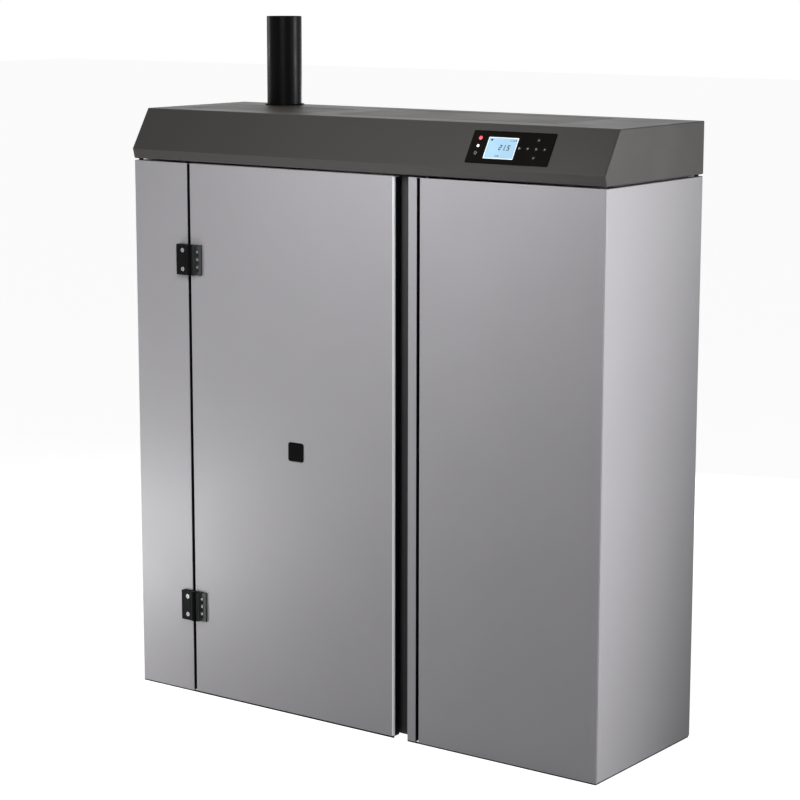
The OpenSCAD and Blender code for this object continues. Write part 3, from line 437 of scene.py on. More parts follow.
def shown(name, data, material, body, *nodes):
    """Links a finished mesh, gives it its finish and sets it on its body for its nodes."""
    if isinstance(data, bmesh.types.BMesh):
        mesh = bpy.data.meshes.new(name)
        data.to_mesh(mesh)
        data.free()
    else:
        mesh = data
    mesh.name = name
    if not mesh.materials:
        mesh.materials.append(material_of(material) if isinstance(material, str) else material)
    piece = bpy.data.objects.new(name, mesh)
    bpy.context.scene.collection.objects.link(piece)
    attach(piece, body)
    if nodes:
        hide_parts(*nodes)
    return piece


def breadth(face):
    """About how wide a long flat face is."""
    return 2 * face.calc_area() / max(face.calc_perimeter(), 1e-9)


SHARP = math.radians(24)  # edges that turn less stay smooth
FOLD_ROOM = 3.2           # a face next to a fold is wider than this many fold radii
CUT_ROOM = 0.9 * MM       # edges of narrower faces aren't rounded
CUT_SHARE = 0.3           # largest rounding of a cut edge, as a share of the face's breadth


def softened(node, fold, cut, shape=None, front_right=None):
    """A CAD node with its folds and cut edges rounded, in its own finish.

    The upright edge at its front right can have a larger radius than the rest.
    """
    bm = shape or merged(node)
    weight = bm.edges.layers.float.new("bevel_weight_edge")
    low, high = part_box(node)
    widest = front_right or fold
    for face in bm.faces:
        face.smooth = True
    for edge in bm.edges:
        if len(edge.link_faces) != 2:
            continue
        turn = edge.calc_face_angle_signed(0.0)
        if abs(turn) < SHARP:
            continue
        edge.smooth = False
        narrow = min(breadth(face) for face in edge.link_faces)
        at_corner = all(high.x - v.co.x < NEAR and v.co.y - low.y < NEAR for v in edge.verts)
        if front_right and at_corner:
            edge[weight] = 1.0
        elif turn > 0 and narrow > FOLD_ROOM * fold:
            edge[weight] = fold / widest
        elif turn > 0 and narrow > CUT_ROOM:
            edge[weight] = min(cut, CUT_SHARE * narrow) / widest
    piece = shown(node + "_piece", bm, FINISH_OF[node], body_of(node), node)
    bevel = piece.modifiers.new("Rounded edges", "BEVEL")
    bevel.limit_method = "WEIGHT"
    bevel.width = widest
    bevel.segments = 6 if front_right else 3
    bevel.use_clamp_overlap = False
    bevel.harden_normals = True
    bevel.miter_outer = "MITER_ARC"
    return piece


def carried(*nodes):
    """CAD nodes whose shape is right keep it and get their finish."""
    for node in nodes:
        mesh = frame["nodes"][node].data
        mesh.materials.clear()
        mesh.materials.append(material_of(FINISH_OF[node]))


def prisms(outlines, low, high, seat):
    """Closed prisms on flat outlines between two heights, set in place by a matrix."""
    bm = bmesh.new()
    for outline in outlines:
        bottom = [bm.verts.new(seat @ Vector((x, y, low))) for x, y in outline]
        top = [bm.verts.new(seat @ Vector((x, y, high))) for x, y in outline]
        bm.faces.new(list(reversed(bottom)))
        bm.faces.new(top)
        for i in range(len(outline)):
            j = (i + 1) % len(outline)
            bm.faces.new((bottom[i], bottom[j], top[j], top[i]))
    bmesh.ops.recalc_face_normals(bm, faces=bm.faces)
    return bm


def rounded(bm, edges, radius):
    """Rounds some edges of a bmesh."""
    bmesh.ops.bevel(bm, geom=edges, offset=radius, segments=6, profile=0.5, affect="EDGES")


def arc_band(x, y, inner, outer, start, end):
    """A flat ring or part of one, as small quads from a start to an end angle in degrees."""
    count = 20
    step = math.radians(end - start) / count
    corner = [(math.cos(math.radians(start) + step * i), math.sin(math.radians(start) + step * i))
              for i in range(count + 1)]
    return [[(x + outer * a, y + outer * b), (x + outer * c, y + outer * d),
             (x + inner * c, y + inner * d), (x + inner * a, y + inner * b)]
            for (a, b), (c, d) in zip(corner, corner[1:])]


def rectangle(x, y, width, height):
    return [(x, y), (x + width, y), (x + width, y + height), (x, y + height)]


def lathe(profile, seat, count):
    """A closed shape turned about the Z axis of its seat, from radius and height pairs."""
    bm = bmesh.new()
    rings = []
    for radius, height in profile:
        if radius < 1e-6:
            rings.append([bm.verts.new(seat @ Vector((0, 0, height)))])
        else:
            rings.append([bm.verts.new(seat @ Vector((radius * math.cos(2 * math.pi * i / count),
                                                      radius * math.sin(2 * math.pi * i / count),
                                                      height))) for i in range(count)])
    for lower, upper in zip(rings, rings[1:]):
        for i in range(count):
            j = (i + 1) % count
            ring = [lower[i % len(lower)], lower[j % len(lower)],
                    upper[j % len(upper)], upper[i % len(upper)]]
            corners = list(dict.fromkeys(ring))
            if len(corners) > 2:
                bm.faces.new(corners).smooth = True
    bmesh.ops.recalc_face_normals(bm, faces=bm.faces)
    return bm


# ---------------------------------------------------------------- repeated pieces

def new_tree(name, sizes, counts, turns=()):
    """A geometry tree with named inputs for sizes in metres, counts, turns and a material."""
    tree = bpy.data.node_groups.new(name, "GeometryNodeTree")
    tree.interface.new_socket("Geometry", in_out="OUTPUT", socket_type="NodeSocketGeometry")
    for kind, names in (("Geometry", ("Geometry",)), ("Float", sizes), ("Int", counts),
                        ("Vector", turns), ("Material", ("Material",))):
        for title in names:
            socket = tree.interface.new_socket(title, in_out="INPUT",
                                               socket_type="NodeSocket" + kind)
            if kind == "Float":
                socket.subtype = "DISTANCE"
    return tree, tree.nodes.new("NodeGroupInput").outputs


def close_tree(tree, geometry, material):
    """Ends a tree with real geometry in its material."""
    real = add(tree, "GeometryNodeRealizeInstances", {0: geometry}).outputs[0]
    painted = add(tree, "GeometryNodeSetMaterial", {"Geometry": real, "Material": material})
    add(tree, "NodeGroupOutput", {0: painted.outputs[0]})
    arrange(tree)
    return tree


def grown(name, vertices, edges, tree, values):
    """Runs a tree on points or lines and returns the result as a plain mesh."""
    start = bpy.data.objects.new(name + "_start", bpy.data.meshes.new(name + "_start"))
    start.data.from_pydata(vertices, edges, [])
    bpy.context.scene.collection.objects.link(start)
    modifier = start.modifiers.new("Repeat", "NODES")
    modifier.node_group = tree
    sockets = {item.name: item.identifier for item in tree.interface.items_tree
               if item.item_type == "SOCKET" and item.in_out == "INPUT"}
    for key, value in values.items():
        modifier[sockets[key]] = value
    depsgraph = bpy.context.evaluated_depsgraph_get()
    mesh = bpy.data.meshes.new_from_object(start.evaluated_get(depsgraph), depsgraph=depsgraph)
    bpy.data.objects.remove(start)
    return mesh


def screw_tree():
    """Screws with a cross recess, one at each point, each turned by its own amount."""
    tree, given = new_tree(
        "CrossRecessScrews",
        ("Head Radius", "Head Height", "Recess Width", "Recess Length", "Recess Depth",
         "Shank Radius", "Shank Length"), ("Seed",), ("Tilt",))
    top = add(tree, "ShaderNodeMath", {0: given["Head Radius"], 1: 0.86},
              operation="MULTIPLY").outputs[0]
    head = add(tree, "GeometryNodeMeshCone",
               {"Vertices": 28, "Radius Top": top, "Radius Bottom": given["Head Radius"],
                "Depth": given["Head Height"]}).outputs[0]
    deep = add(tree, "ShaderNodeMath", {0: given["Recess Depth"], 1: 2.0},
               operation="MULTIPLY").outputs[0]
    bars = []
    for order in ((given["Recess Length"], given["Recess Width"]),
                  (given["Recess Width"], given["Recess Length"])):
        size = add(tree, "ShaderNodeCombineXYZ", {0: order[0], 1: order[1], 2: deep}).outputs[0]
        bars.append(add(tree, "GeometryNodeMeshCube", {"Size": size}).outputs[0])
    lift = add(tree, "ShaderNodeCombineXYZ", {2: given["Head Height"]}).outputs[0]
    cross = add(tree, "GeometryNodeMeshBoolean", operation="UNION")
    for bar in bars:
        tree.links.new(bar, cross.inputs["Mesh 2"])
    raised = add(tree, "GeometryNodeTransform",
                 {"Geometry": cross.outputs["Mesh"], "Translation": lift}).outputs[0]
    cut = add(tree, "GeometryNodeMeshBoolean", {"Mesh 1": head, "Mesh 2": raised},
              operation="DIFFERENCE").outputs[0]
    shank = add(tree, "GeometryNodeMeshCylinder",
                {"Vertices": 16, "Radius": given["Shank Radius"],
                 "Depth": given["Shank Length"]}).outputs[0]
    half = add(tree, "ShaderNodeMath", {0: given["Shank Length"], 1: -0.5},
               operation="MULTIPLY").outputs[0]
    down = add(tree, "ShaderNodeCombineXYZ", {2: half}).outputs[0]
    lowered = add(tree, "GeometryNodeTransform",
                  {"Geometry": shank, "Translation": down}).outputs[0]
    whole = add(tree, "GeometryNodeJoinGeometry")
    for part in (cut, lowered):
        tree.links.new(part, whole.inputs[0])
    turn = add(tree, "FunctionNodeRandomValue",
               {2: 0.0, 3: math.pi, "Seed": given["Seed"]}, data_type="FLOAT").outputs[1]
    spin = add(tree, "ShaderNodeCombineXYZ", {2: turn}).outputs[0]
    local = add(tree, "FunctionNodeEulerToRotation", {0: spin}).outputs[0]
    tilt = add(tree, "FunctionNodeEulerToRotation", {0: given["Tilt"]}).outputs[0]
    facing = add(tree, "FunctionNodeRotateRotation", {"Rotation": tilt, "Rotate By": local},
                 rotation_space="LOCAL").outputs[0]
    placed = add(tree, "GeometryNodeInstanceOnPoints",
                 {"Points": given["Geometry"], "Instance": whole.outputs[0],
                  "Rotation": facing}).outputs[0]
    return close_tree(tree, placed, given["Material"])


def rope_tree():
    """A rope of twisted strands along a closed line."""
    tree, given = new_tree("TwistedRope", ("Strand Radius", "Pitch"), ("Strands",))
    line = add(tree, "GeometryNodeMeshToCurve", {0: given["Geometry"]}).outputs[0]
    even = add(tree, "GeometryNodeResampleCurve", {"Curve": line, "Length": 2 * MM},
               mode="LENGTH").outputs[0]
    copies = add(tree, "GeometryNodeDuplicateElements",
                 {"Geometry": even, "Amount": given["Strands"]}, domain="SPLINE")
    along = add(tree, "GeometryNodeSplineParameter").outputs["Length"]
    turns = add(tree, "ShaderNodeMath", {0: along, 1: given["Pitch"]},
                operation="DIVIDE").outputs[0]
    part = add(tree, "ShaderNodeMath",
               {0: copies.outputs["Duplicate Index"], 1: given["Strands"]},
               operation="DIVIDE").outputs[0]
    phase = add(tree, "ShaderNodeMath", {0: turns, 1: part}, operation="ADD").outputs[0]
    angle = add(tree, "ShaderNodeMath", {0: phase, 1: 2 * math.pi},
                operation="MULTIPLY").outputs[0]
    normal = add(tree, "GeometryNodeInputNormal").outputs[0]
    tangent = add(tree, "GeometryNodeInputTangent").outputs[0]
    swung = add(tree, "ShaderNodeVectorRotate", {"Vector": normal, "Axis": tangent,
                                                 "Angle": angle}).outputs[0]
    offset = add(tree, "ShaderNodeVectorMath", {0: swung, "Scale": given["Strand Radius"]},
                 operation="SCALE").outputs[0]
    moved = add(tree, "GeometryNodeSetPosition",
                {"Geometry": copies.outputs["Geometry"], "Offset": offset}).outputs[0]
    ring = add(tree, "GeometryNodeCurvePrimitiveCircle",
               {"Resolution": 8, "Radius": given["Strand Radius"]}).outputs[0]
    tube = add(tree, "GeometryNodeCurveToMesh",
               {"Curve": moved, "Profile Curve": ring}).outputs[0]
    return close_tree(tree, tube, given["Material"])


def screws(nodes, facing):
    """Screws in the places of CAD screws, one piece for each node, facing along Y."""
    head_h = 2.4 * MM
    tree = bpy.data.node_groups.get("CrossRecessScrews") or screw_tree()
    for node in nodes:
        points, radius, reach = [], 0.0, 0.0
        for low, high in islands(node):
            middle = (low + high) / 2
            front = low.y + head_h if facing < 0 else high.y - head_h
            points.append((middle.x, front, middle.z))
            radius = (high.z - low.z) / 2
            reach = (high.y - low.y) - head_h
        mesh = grown(node + "_detailed", points, [], tree,
                     {"Head Radius": radius, "Head Height": head_h,
                      "Recess Width": radius * 0.3, "Recess Length": radius * 1.15,
                      "Recess Depth": head_h * 0.6,
                      "Shank Radius": radius * 0.5, "Shank Length": reach, "Seed": 7,
                      "Tilt": (-facing * math.pi / 2, 0.0, 0.0),
                      "Material": material_of("steel_zinc_plated")})
        shown(f"screws_{node}", mesh, "steel_zinc_plated", body_of(node), node)


def side_profile(node, front, flange=0.0):
    """A black profile on a panel's right side face, behind its rounded front edge. In the seams of
    strip and stile it is painted shade.

    A flange is the part of the panel's back that reaches past that face.
    """
    low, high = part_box(node)
    sunk, thick, short = 1 * MM, 1.4 * MM, 2 * MM
    back = high.y - (short if flange else 0.0)
    profile = prisms([rectangle(high.x - flange - sunk, low.y + front, thick,
                                back - low.y - front)],
                     low.z + short, high.z - short, Matrix())
    shown(node + "_profile", profile, "black_profile_painted_shade", body_of(node))


def shade_strip_under_panel(node, along_side=False):
    """A black strip just behind a panel's outer face that stands as painted shade in the gap under
    it.
    """
    low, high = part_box(node)
    back, thick, short = 0.4 * MM, 3 * MM, 4 * MM
    above_floor, overlap = 0.3 * MM, 0.4 * MM
    if along_side:
        outline = rectangle(high.x - back - thick, low.y + short, thick,
                            high.y - low.y - 2 * short)
    else:
        outline = rectangle(low.x + back, low.y + back, high.x - low.x - 2 * back, thick)
    shade_strip = prisms([outline], above_floor, low.z + overlap, Matrix())
    shown(node + "_painted_shade", shade_strip, "black_profile_painted_shade", body_of(node))


# ---------------------------------------------------------------- operators

# How far the back of a panel reaches past the seam at its right
FLANGES = {"left_front_strip": 17.5 * MM, "door_stile": 7.2 * MM}


class STOVE_OT_casing(bpy.types.Operator):
    """Folded sheet panels, base frame and rear panel"""
    bl_idname = "stove.casing"
    bl_label = "Casing"

    def execute(self, context):
        sizes = context.scene.stove_casing
        for node in ("left_side_panel", "right_side_panel", "handle_channel", "rear_panel"):
            softened(node, sizes.fold, sizes.cut)
        softened("right_front_panel", sizes.fold, sizes.cut, front_right=sizes.corner)
        for node in ("base_frame", "levelling_feet", "cover_spacers"):
            softened(node, 0.8 * MM, sizes.cut)
        carried("top_rail", "partition")
        for node, flange in FLANGES.items():
            softened(node, sizes.narrow_fold, sizes.cut)
            # In the seam at the panel's right the black profile is painted shade
            side_profile(node, sizes.narrow_fold, flange)
            # A black strip under the panel is painted shade
            shade_strip_under_panel(node)
        # Black strips under the right panels are painted shade
        shade_strip_under_panel("right_front_panel")
        shade_strip_under_panel("right_side_panel", along_side=True)
        screws(("casing_screws",), 1)
        return {"FINISHED"}


class STOVE_OT_front_door(bpy.types.Operator):
    """Front door with its inner frame, bare badge plate and magnets"""
    bl_idname = "stove.front_door"
    bl_label = "Front door"

    def execute(self, context):
        sizes = context.scene.stove_casing
        softened("outer_door", sizes.fold, sizes.cut, front_right=sizes.grip)
        side_profile("outer_door", sizes.grip)
        # A black strip under the door is painted shade
        shade_strip_under_panel("outer_door")
        low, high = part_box("outer_door")
        # A pale strip over the rounded grip edge stands as its painted highlight
        turns = [math.radians(angle) for angle in range(-76, -13, 4)]
        proud, sunk, short = 0.15 * MM, 0.6 * MM, 2 * MM
        arcs = ((sizes.grip + proud, turns), (sizes.grip - sunk, reversed(turns)))
        outline = [(high.x - sizes.grip + radius * math.cos(turn),
                    low.y + sizes.grip + radius * math.sin(turn))
                   for radius, order in arcs for turn in order]
        strip = prisms([outline], low.z + short, high.z - short, Matrix())
        shown("door_edge_painted_highlight", strip, "pale_strip_painted_highlight", body_of("outer_door"))
        softened("door_stiffener", 0.8 * MM, sizes.cut)
        softened("door_magnets", 0.8 * MM, sizes.cut)
        badge = merged("door_badge")
        rounding = [edge for edge in badge.edges
                    if abs((edge.verts[0].co - edge.verts[1].co).normalized().y) > 0.9]
        rounded(badge, rounding, 6 * MM)
        softened("door_badge", 0.5 * MM, 0.3 * MM, shape=badge)
        return {"FINISHED"}


class STOVE_OT_hinges(bpy.types.Operator):
    """Block hinges with their pins and recessed screws"""
    bl_idname = "stove.hinges"
    bl_label = "Hinges"

    def execute(self, context):
        sizes = context.scene.stove_hinge
        softened("hinge_fixed_leaves", sizes.edge, 0.3 * MM)
        leaves = softened("hinge_door_leaves", sizes.edge, 0.3 * MM).data
        leaves.materials.append(material_of("zinc_die_cast_coated"))
        plate_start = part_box("hinge_door_leaves")[1].x - sizes.plate
        for face in leaves.polygons:
            if face.center.x > plate_start:
                face.material_index = 1
        carried("hinge_pins")
        screws(("hinge_fixed_screws", "hinge_door_screws"), -1)
        return {"FINISHED"}


class STOVE_OT_cover(bpy.types.Operator):
    """Top cover with its two lids and their pins"""
    bl_idname = "stove.cover"
    bl_label = "Cover"

    def execute(self, context):
        sizes = context.scene.stove_casing
        softened("cover_shell", sizes.cover_fold, sizes.cut)
        for node in ("service_lid", "hopper_lid"):
            softened(node, 1.0 * MM, sizes.cut)
        carried("lid_pins")
        return {"FINISHED"}


def plate_seat():
    """The control panel's front plane: x to the right, y up the slope, z outward."""
    bm = merged("control_fascia")
    face = max((f for f in bm.faces if f.normal.z > 0.2 and f.normal.y < -0.2),
               key=lambda f: f.calc_area())
    outward = face.normal.copy()
    bm.free()
    right = Vector((1, 0, 0))
    up = outward.cross(right)
    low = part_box("control_fascia")[0]
    top_edge = [v.co for v in frame["nodes"]["control_fascia"].data.vertices]
    reach = max(co.dot(outward) for co in top_edge)
    start = min(co.dot(up) for co in top_edge if co.dot(outward) > reach - NEAR)
    origin = right * low.x + up * start + outward * reach
    return Matrix.Translation(origin) @ Matrix((right, up, outward)).transposed().to_4x4()


def plate_place(node, seat):
    """Low and high corner of a piece's outer face, in the control panel's own axes."""
    back = seat.inverted()
    points = [back @ v.co for v in frame["nodes"][node].data.vertices]
    top = max(p.z for p in points)
    outer = [p for p in points if p.z > top - NEAR]
    low = Vector(map(min, zip(*outer)))
    high = Vector(map(max, zip(*outer)))
    return low, high


SEGMENTS = {"0": "abcdef", "1": "bc", "2": "abged", "3": "abgcd", "4": "fgbc", "5": "afgcd",
            "6": "afgedc", "7": "abc", "8": "abcdefg", "9": "abcdfg"}
# Slant of the digits and steps to the next sign, as shares of the digits' height
LEAN, DIGIT_STEP, DOT_STEP = 0.12, 0.66, 0.24


def digit(symbol, x, y, height):
    """Bars of one slanting seven-bar digit, as flat outlines."""
    width, bar = height * 0.5, height * 0.19
    half = height / 2
    bars = {"a": (0, height - bar, width, bar), "d": (0, 0, width, bar),
            "g": (0, half - bar / 2, width, bar), "f": (0, half, bar, half),
            "e": (0, 0, bar, half), "b": (width - bar, half, bar, half),
            "c": (width - bar, 0, bar, half)}
    gap = bar * 0.14
    outlines = []
    for key in SEGMENTS[symbol]:
        bx, by, bw, bh = bars[key]
        box = rectangle(bx + gap, by + gap, bw - 2 * gap, bh - 2 * gap)
        outlines.append([(x + px + LEAN * py, y + py) for px, py in box])
    return outlines


def reading(text, x, y, height):
    """A row of digits, dots and colons that starts at x and y."""
    outlines = []
    for symbol in text:
        if symbol in SEGMENTS:
            outlines += digit(symbol, x, y, height)
            x += height * DIGIT_STEP
        else:
            dot = height * 0.13
            rows = (0.0,) if symbol == "." else (0.22 * height, 0.62 * height)
            outlines += [rectangle(x - dot * 0.3 + LEAN * row, y + row, dot, dot) for row in rows]
            x += height * DOT_STEP
    return outlines


class STOVE_OT_control_panel(bpy.types.Operator):
    """Front plate, lit screen, lamps and marked keys"""
    bl_idname = "stove.control_panel"
    bl_label = "Control panel"

    def execute(self, context):
        sizes = context.scene.stove_control
        seat = plate_seat()
        self.front_plate(sizes, seat)
        carried("control_board")
        self.screen(sizes, seat)
        self.lamps(sizes, seat)
        self.marked_keys(seat)
        return {"FINISHED"}

    def front_plate(self, sizes, seat):
        """The plate with its four corners rounded."""
        outward = seat.to_3x3().col[2]
        plate = merged("control_fascia")
        low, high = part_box("control_fascia")
        corners = []
        for edge in plate.edges:
            along = edge.verts[1].co - edge.verts[0].co
            side = min(abs(edge.verts[0].co.x - low.x), abs(edge.verts[0].co.x - high.x))
            if abs(along.normalized().dot(outward)) > 0.99 and side < NEAR:
                corners.append(edge)
        rounded(plate, corners, sizes.corner)
        softened("control_fascia", 0.5 * MM, 0.25 * MM, shape=plate)

    def screen(self, sizes, seat):
        """The lit screen, its white border and the bars of a generic reading."""
        border_h, marks_h = 0.05 * MM, 0.06 * MM
        low, high = plate_place("display", seat)
        width, height = high.x - low.x, high.y - low.y
        glass = prisms([rectangle(low.x, low.y, width, height)], low.z - 1.5 * MM, low.z, seat)
        lit = glow("acrylic_backlit_screen", [c * 0.5 for c in sizes.screen], sizes.screen,
                   roughness=0.25, strength=0.62, patch=50)
        shown("screen_glass", glass, lit, body_of("display"), "display")
        edge = sizes.frame_w
        border = [rectangle(low.x, low.y, width, edge),
                  rectangle(low.x, high.y - edge, width, edge),
                  rectangle(low.x, low.y + edge, edge, height - 2 * edge),
                  rectangle(high.x - edge, low.y + edge, edge, height - 2 * edge)]
        pale = linear("#f4f7fa")
        white = glow("ink_white_backlit", pale, pale, roughness=0.4, strength=0.5, patch=30)
        shown("screen_border", prisms(border, low.z, low.z + border_h, seat), white,
              body_of("display"))
        marks = reading("21.5", low.x + 0.42 * width, low.y + 0.4 * height, sizes.digit_h)
        marks += reading("12:30", low.x + 0.36 * width, low.y + 0.1 * height, sizes.clock_h)
        marks += [rectangle(low.x + 6 * MM, high.y - 8 * MM, 5 * MM, 3.6 * MM)]
        marks += [rectangle(high.x - (20 - 3.4 * i) * MM, high.y - 7.6 * MM, 2.2 * MM,
                            (0.8 + 0.45 * i) * MM) for i in range(5)]
        shown("screen_marks", prisms(marks, low.z, low.z + marks_h, seat),
              "liquid_crystal_dark", body_of("display"))

    def lamps(self, sizes, seat):
        """A white and a red lens, each with a stem that goes into the plate."""
        places = islands("status_lamps")
        for box, radius, name, shade, strength in (
                (places[0], sizes.white_r, "lamp_white", "#f3f4f2", 0.9),
                (places[1], sizes.red_r, "lamp_red", "#ea4055", 0.85)):
            middle = seat.inverted() @ ((box[0] + box[1]) / 2)
            spot = seat @ Matrix.Translation((middle.x, middle.y, 0))
            lens = lathe([(0, -2 * MM), (radius * 0.5, -2 * MM), (radius * 0.5, 0),
                          (radius, 0), (radius * 0.94, 0.5 * MM), (radius * 0.7, 0.95 * MM),
                          (radius * 0.35, 1.2 * MM), (0, 1.28 * MM)], spot, 28)
            lit = glow(name + "_acrylic_lens", linear(shade), linear(shade), roughness=0.2,
                       strength=strength, patch=6)
            shown(name, lens, lit, body_of("status_lamps"))
        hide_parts("status_lamps")

    def marked_keys(self, seat):
        """The key caps, each with a printed mark."""
        tall = 0.09 * MM
        size = 2.3 * MM
        arrows = {"left_key": 180, "right_key": 0, "up_key": 90, "down_key": 270}
        for node in FINISHES["silicone_moulded_keys"]:
            softened(node, 0.5 * MM, 0.3 * MM)
            low, high = plate_place(node, seat)
            x, y, top = (low.x + high.x) / 2, (low.y + high.y) / 2, high.z
            if node in arrows:
                turn = math.radians(arrows[node])
                outlines = [[(x + size * math.cos(turn + a), y + size * math.sin(turn + a))
                             for a in (0, math.radians(125), math.radians(235))]]
            elif node == "ok_key":  # a ring
                outlines = arc_band(x, y, 1.2 * MM, 1.9 * MM, 0, 360)
            elif node == "back_key":  # an arrow with a shaft
                outlines = [[(x - 2.6 * MM, y), (x, y - 2.2 * MM), (x, y + 2.2 * MM)],
                            rectangle(x, y - 0.6 * MM, 2.6 * MM, 1.2 * MM)]
            else:  # an open ring with a bar
                outlines = arc_band(x, y, 2.5 * MM, 3.3 * MM, 130, 410)
                outlines.append(rectangle(x - 0.4 * MM, y + 1.2 * MM, 0.8 * MM, 2.6 * MM))
            shown(node + "_mark", prisms(outlines, top - tall / 3, top + tall, seat),
                  "ink_printed_grey", body_of(node))


class STOVE_OT_flue(bpy.types.Operator):
    """Flue pipe and its collar"""
    bl_idname = "stove.flue"
    bl_label = "Flue"

    def execute(self, context):
        softened("flue_pipe", 0.6 * MM, 0.4 * MM)
        softened("flue_collar", 0.8 * MM, 0.4 * MM)
        return {"FINISHED"}


class STOVE_OT_boiler(bpy.types.Operator):
    """Firebox with its door, rope seal and ash drawer, heat exchanger and flue gas fan"""
    bl_idname = "stove.boiler"
    bl_label = "Boiler"

    def execute(self, context):
        sizes = context.scene.stove_boiler
        for node in ("firebox", "firebox_door", "burner_pot", "exchanger_cover"):
            softened(node, sizes.edge, 0.6 * MM)
        for node in ("firebox_door_board", "firebox_door_handle", "ash_drawer",
                     "heat_exchanger", "flue_fan_housing", "fan_motor", "air_intake"):
            softened(node, 1.0 * MM, 0.4 * MM)
        carried("turbulators", "igniter", "fan_impeller")
        low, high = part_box("firebox_door_seal")
        inset = 2 * sizes.rope_r
        corner = 12 * MM
        y = (low.y + high.y) / 2
        path = []
        for x, z, start in ((high.x - inset - corner, high.z - inset - corner, 0),
                            (low.x + inset + corner, high.z - inset - corner, 90),
                            (low.x + inset + corner, low.z + inset + corner, 180),
                            (high.x - inset - corner, low.z + inset + corner, 270)):
            for i in range(7):
                turn = math.radians(start + i * 15)
                path.append((x + corner * math.cos(turn), y, z + corner * math.sin(turn)))
        edges = [(i, (i + 1) % len(path)) for i in range(len(path))]
        rope = grown("rope_seal", path, edges, rope_tree(),
                     {"Strand Radius": sizes.rope_r, "Pitch": sizes.rope_pitch,
                      "Strands": sizes.strands,
                      "Material": material_of("glass_fibre_braided")})
        shown("rope_seal", rope, "glass_fibre_braided", body_of("firebox_door_seal"),
              "firebox_door_seal")
        return {"FINISHED"}


class STOVE_OT_pellet_feed(bpy.types.Operator):
    """Hopper, feed tube, auger and gear motor"""
    bl_idname = "stove.pellet_feed"
    bl_label = "Pellet feed"

    def execute(self, context):
        softened("hopper", 0.8 * MM, 0.4 * MM)
        softened("gear_motor", 2.0 * MM, 0.5 * MM)
        carried("feed_tube", "auger")
        return {"FINISHED"}


class STOVE_OT_rear(bpy.types.Operator):
    """Mains inlet and rocker switch"""
    bl_idname = "stove.rear"
    bl_label = "Rear fittings"

    def execute(self, context):
        softened("mains_inlet", 1.0 * MM, 0.4 * MM)
        softened("mains_switch", 0.6 * MM, 0.3 * MM)
        return {"FINISHED"}


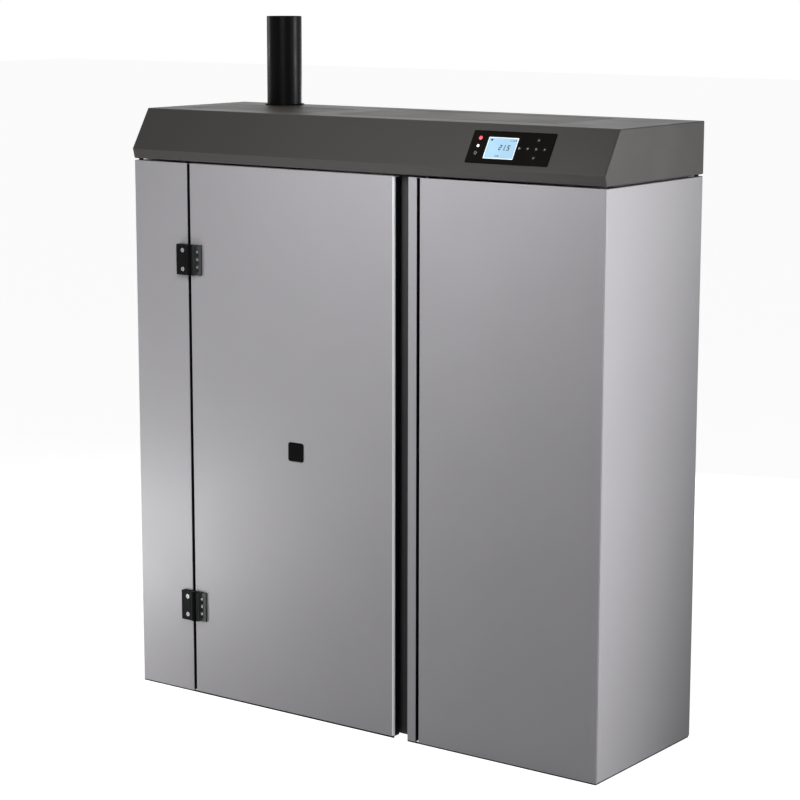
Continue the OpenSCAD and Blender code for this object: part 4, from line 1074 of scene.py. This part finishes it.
class STOVE_OT_studio(bpy.types.Operator):
    """Pale floor, white surroundings, eight soft lights and the camera"""
    bl_idname = "stove.studio"
    bl_label = "Studio"

    def execute(self, context):
        sizes = context.scene.stove_studio
        scene = context.scene
        self.floor(sizes)
        self.surroundings(scene, sizes)
        self.lights(scene, sizes)
        self.camera(scene, sizes)
        scene.view_settings.view_transform = "Standard"
        return {"FINISHED"}

    def lights(self, scene, sizes):
        """Soft lights, each set by its place and the point that it faces."""
        # The two lamps of the flue pipe light nothing else, so that the cover doesn't
        # mirror them
        pipe = (-0.455, 0.14, 1.43)
        lit = bpy.data.collections.new("lit_by_pipe_lamps")
        for piece in scene.objects:
            if piece.name.startswith("flue_pipe"):
                lit.objects.link(piece)
        for name, watts, place, aim, size in (
                ("edge_softbox", sizes.edge, (2.75, 2.6, 1.1), (0.6, 0.0, 1.2), 0.7),
                ("left_softbox", sizes.left, (-1.55, -1.45, 0.6), (-1.1, 0.6, 1.25), 1.8),
                ("low_softbox", sizes.low, (-1.1, -0.8, 0.1), (-0.5, -0.2, 0.3), 0.5),
                ("front_softbox", sizes.front, (0.2, -1.0, 1.6), (0.1, -0.2, 1.0), 0.6),
                ("right_softbox", sizes.right, (2.28, -0.22, 0.6), (1.96, -1.22, 0.83), 1.8),
                ("back_softbox", sizes.back, (-0.9, 2.5, 0.75), (-0.1, 0.2, 0.6), 1.0),
                ("pipe_right_lamp", sizes.pipe_right, (0.58, 0.61, 1.45), pipe, 0.15),
                ("pipe_left_lamp", sizes.pipe_left, (-1.5, 0.0, 1.45), pipe, 0.15)):
            lamp = bpy.data.lights.new(name, "AREA")
            lamp.energy = watts
            lamp.size = size
            light = bpy.data.objects.new(name, lamp)
            light.visible_camera = False
            light.location = place
            light.rotation_mode = "QUATERNION"
            light.rotation_quaternion = (Vector(aim) - Vector(place)).to_track_quat("-Z", "Y")
            scene.collection.objects.link(light)
            if name.startswith("pipe_"):
                light.light_linking.receiver_collection = lit

    def floor(self, sizes):
        """A wide floor that the camera sees as white wherever the stove casts no shadow."""
        mesh = bpy.data.meshes.new("studio_floor")
        half = 30
        mesh.from_pydata([(-half, -half, 0), (half, -half, 0), (half, half, 0),
                          (-half, half, 0)], [], [(0, 1, 2, 3)])
        material, tree = new_material("floor_painted_matt")
        place = add(tree, "ShaderNodeTexCoord").outputs["Object"]
        mottle = add(tree, "ShaderNodeTexNoise", {"Vector": place, "Scale": 3.0}).outputs[0]
        tone = add(tree, "ShaderNodeMix",
                   {0: mottle, 6: tuple(c * 0.98 for c in sizes.floor) + (1.0,),
                    7: tuple(sizes.floor) + (1.0,)}, data_type="RGBA").outputs[2]
        matt = add(tree, "ShaderNodeBsdfDiffuse", {"Color": tone}).outputs[0]
        lift = add(tree, "ShaderNodeMath", {0: seen_ray(tree), 1: 0.95},
                   operation="MULTIPLY").outputs[0]
        white = add(tree, "ShaderNodeEmission", {"Strength": lift}).outputs[0]
        both = add(tree, "ShaderNodeAddShader", {0: matt, 1: white}).outputs[0]
        add(tree, "ShaderNodeOutputMaterial", {"Surface": both})
        arrange(tree)
        mesh.materials.append(material)
        floor = bpy.data.objects.new("studio_floor", mesh)
        bpy.context.scene.collection.objects.link(floor)

    def surroundings(self, scene, sizes):
        """White where it is seen, a dim fill where it only lights."""
        world = bpy.data.worlds.new("studio_world")
        scene.world = world
        world.use_nodes = True
        tree = world.node_tree
        tree.nodes.clear()
        level = add(tree, "ShaderNodeMapRange",
                    {0: seen_ray(tree), 3: sizes.fill, 4: 1.0}).outputs[0]
        light = add(tree, "ShaderNodeBackground",
                    {"Color": (1.0, 1.0, 1.0, 1.0), "Strength": level}).outputs[0]
        add(tree, "ShaderNodeOutputWorld", {"Surface": light})
        arrange(tree)

    def camera(self, scene, sizes):
        """The photograph's viewing angle, from the fit of the cabinet's edges."""
        place = (2.9683, -4.1041, 1.6178)
        yaw, pitch, roll = math.radians(36.093), math.radians(10.262), math.radians(0.073)
        look = Vector((-math.sin(yaw) * math.cos(pitch), math.cos(yaw) * math.cos(pitch),
                       -math.sin(pitch)))
        level = Vector((math.cos(yaw), math.sin(yaw), 0.0))
        above = level.cross(look)
        right = level * math.cos(roll) + above * math.sin(roll)
        up = above * math.cos(roll) - level * math.sin(roll)
        data = bpy.data.cameras.new("photo_camera")
        data.lens = sizes.lens
        data.sensor_width = 36.0
        camera = bpy.data.objects.new("photo_camera", data)
        turned = Matrix((right, up, -look)).transposed().to_4x4()
        camera.matrix_world = Matrix.Translation(place) @ turned
        scene.collection.objects.link(camera)
        scene.camera = camera


class STOVE_PT_panel(bpy.types.Panel):
    """Lists the stove's groups of pieces and their settings"""
    bl_idname = "STOVE_PT_panel"
    bl_label = "Pellet Stove"
    bl_space_type = "VIEW_3D"
    bl_region_type = "UI"
    bl_category = "Pellet Stove"

    def draw(self, context):
        layout = self.layout
        for operator in OPERATORS:
            layout.operator(operator.bl_idname)
        for name in SETTINGS:
            group = getattr(context.scene, name)
            box = layout.box()
            for key in type(group).__annotations__:
                box.prop(group, key)


OPERATORS = (STOVE_OT_casing, STOVE_OT_front_door, STOVE_OT_hinges, STOVE_OT_cover,
             STOVE_OT_control_panel, STOVE_OT_flue, STOVE_OT_boiler, STOVE_OT_pellet_feed,
             STOVE_OT_rear, STOVE_OT_studio)
SETTINGS = {"stove_casing": CasingSettings, "stove_hinge": HingeSettings,
            "stove_control": ControlSettings, "stove_boiler": BoilerSettings,
            "stove_studio": StudioSettings}


def register():
    for group in SETTINGS.values():
        bpy.utils.register_class(group)
    for name, group in SETTINGS.items():
        setattr(bpy.types.Scene, name, PointerProperty(type=group))
    for operator in OPERATORS:
        bpy.utils.register_class(operator)
    bpy.utils.register_class(STOVE_PT_panel)


def unregister():
    bpy.utils.unregister_class(STOVE_PT_panel)
    for operator in reversed(OPERATORS):
        bpy.utils.unregister_class(operator)
    for name in SETTINGS:
        delattr(bpy.types.Scene, name)
    for group in reversed(list(SETTINGS.values())):
        bpy.utils.unregister_class(group)


def main():
    register()
    bpy.ops.stove.casing()
    bpy.ops.stove.front_door()
    bpy.ops.stove.hinges()
    bpy.ops.stove.cover()
    bpy.ops.stove.control_panel()
    bpy.ops.stove.flue()
    bpy.ops.stove.boiler()
    bpy.ops.stove.pellet_feed()
    bpy.ops.stove.rear()
    bpy.ops.stove.studio()


if __name__ == "__main__":
    main()
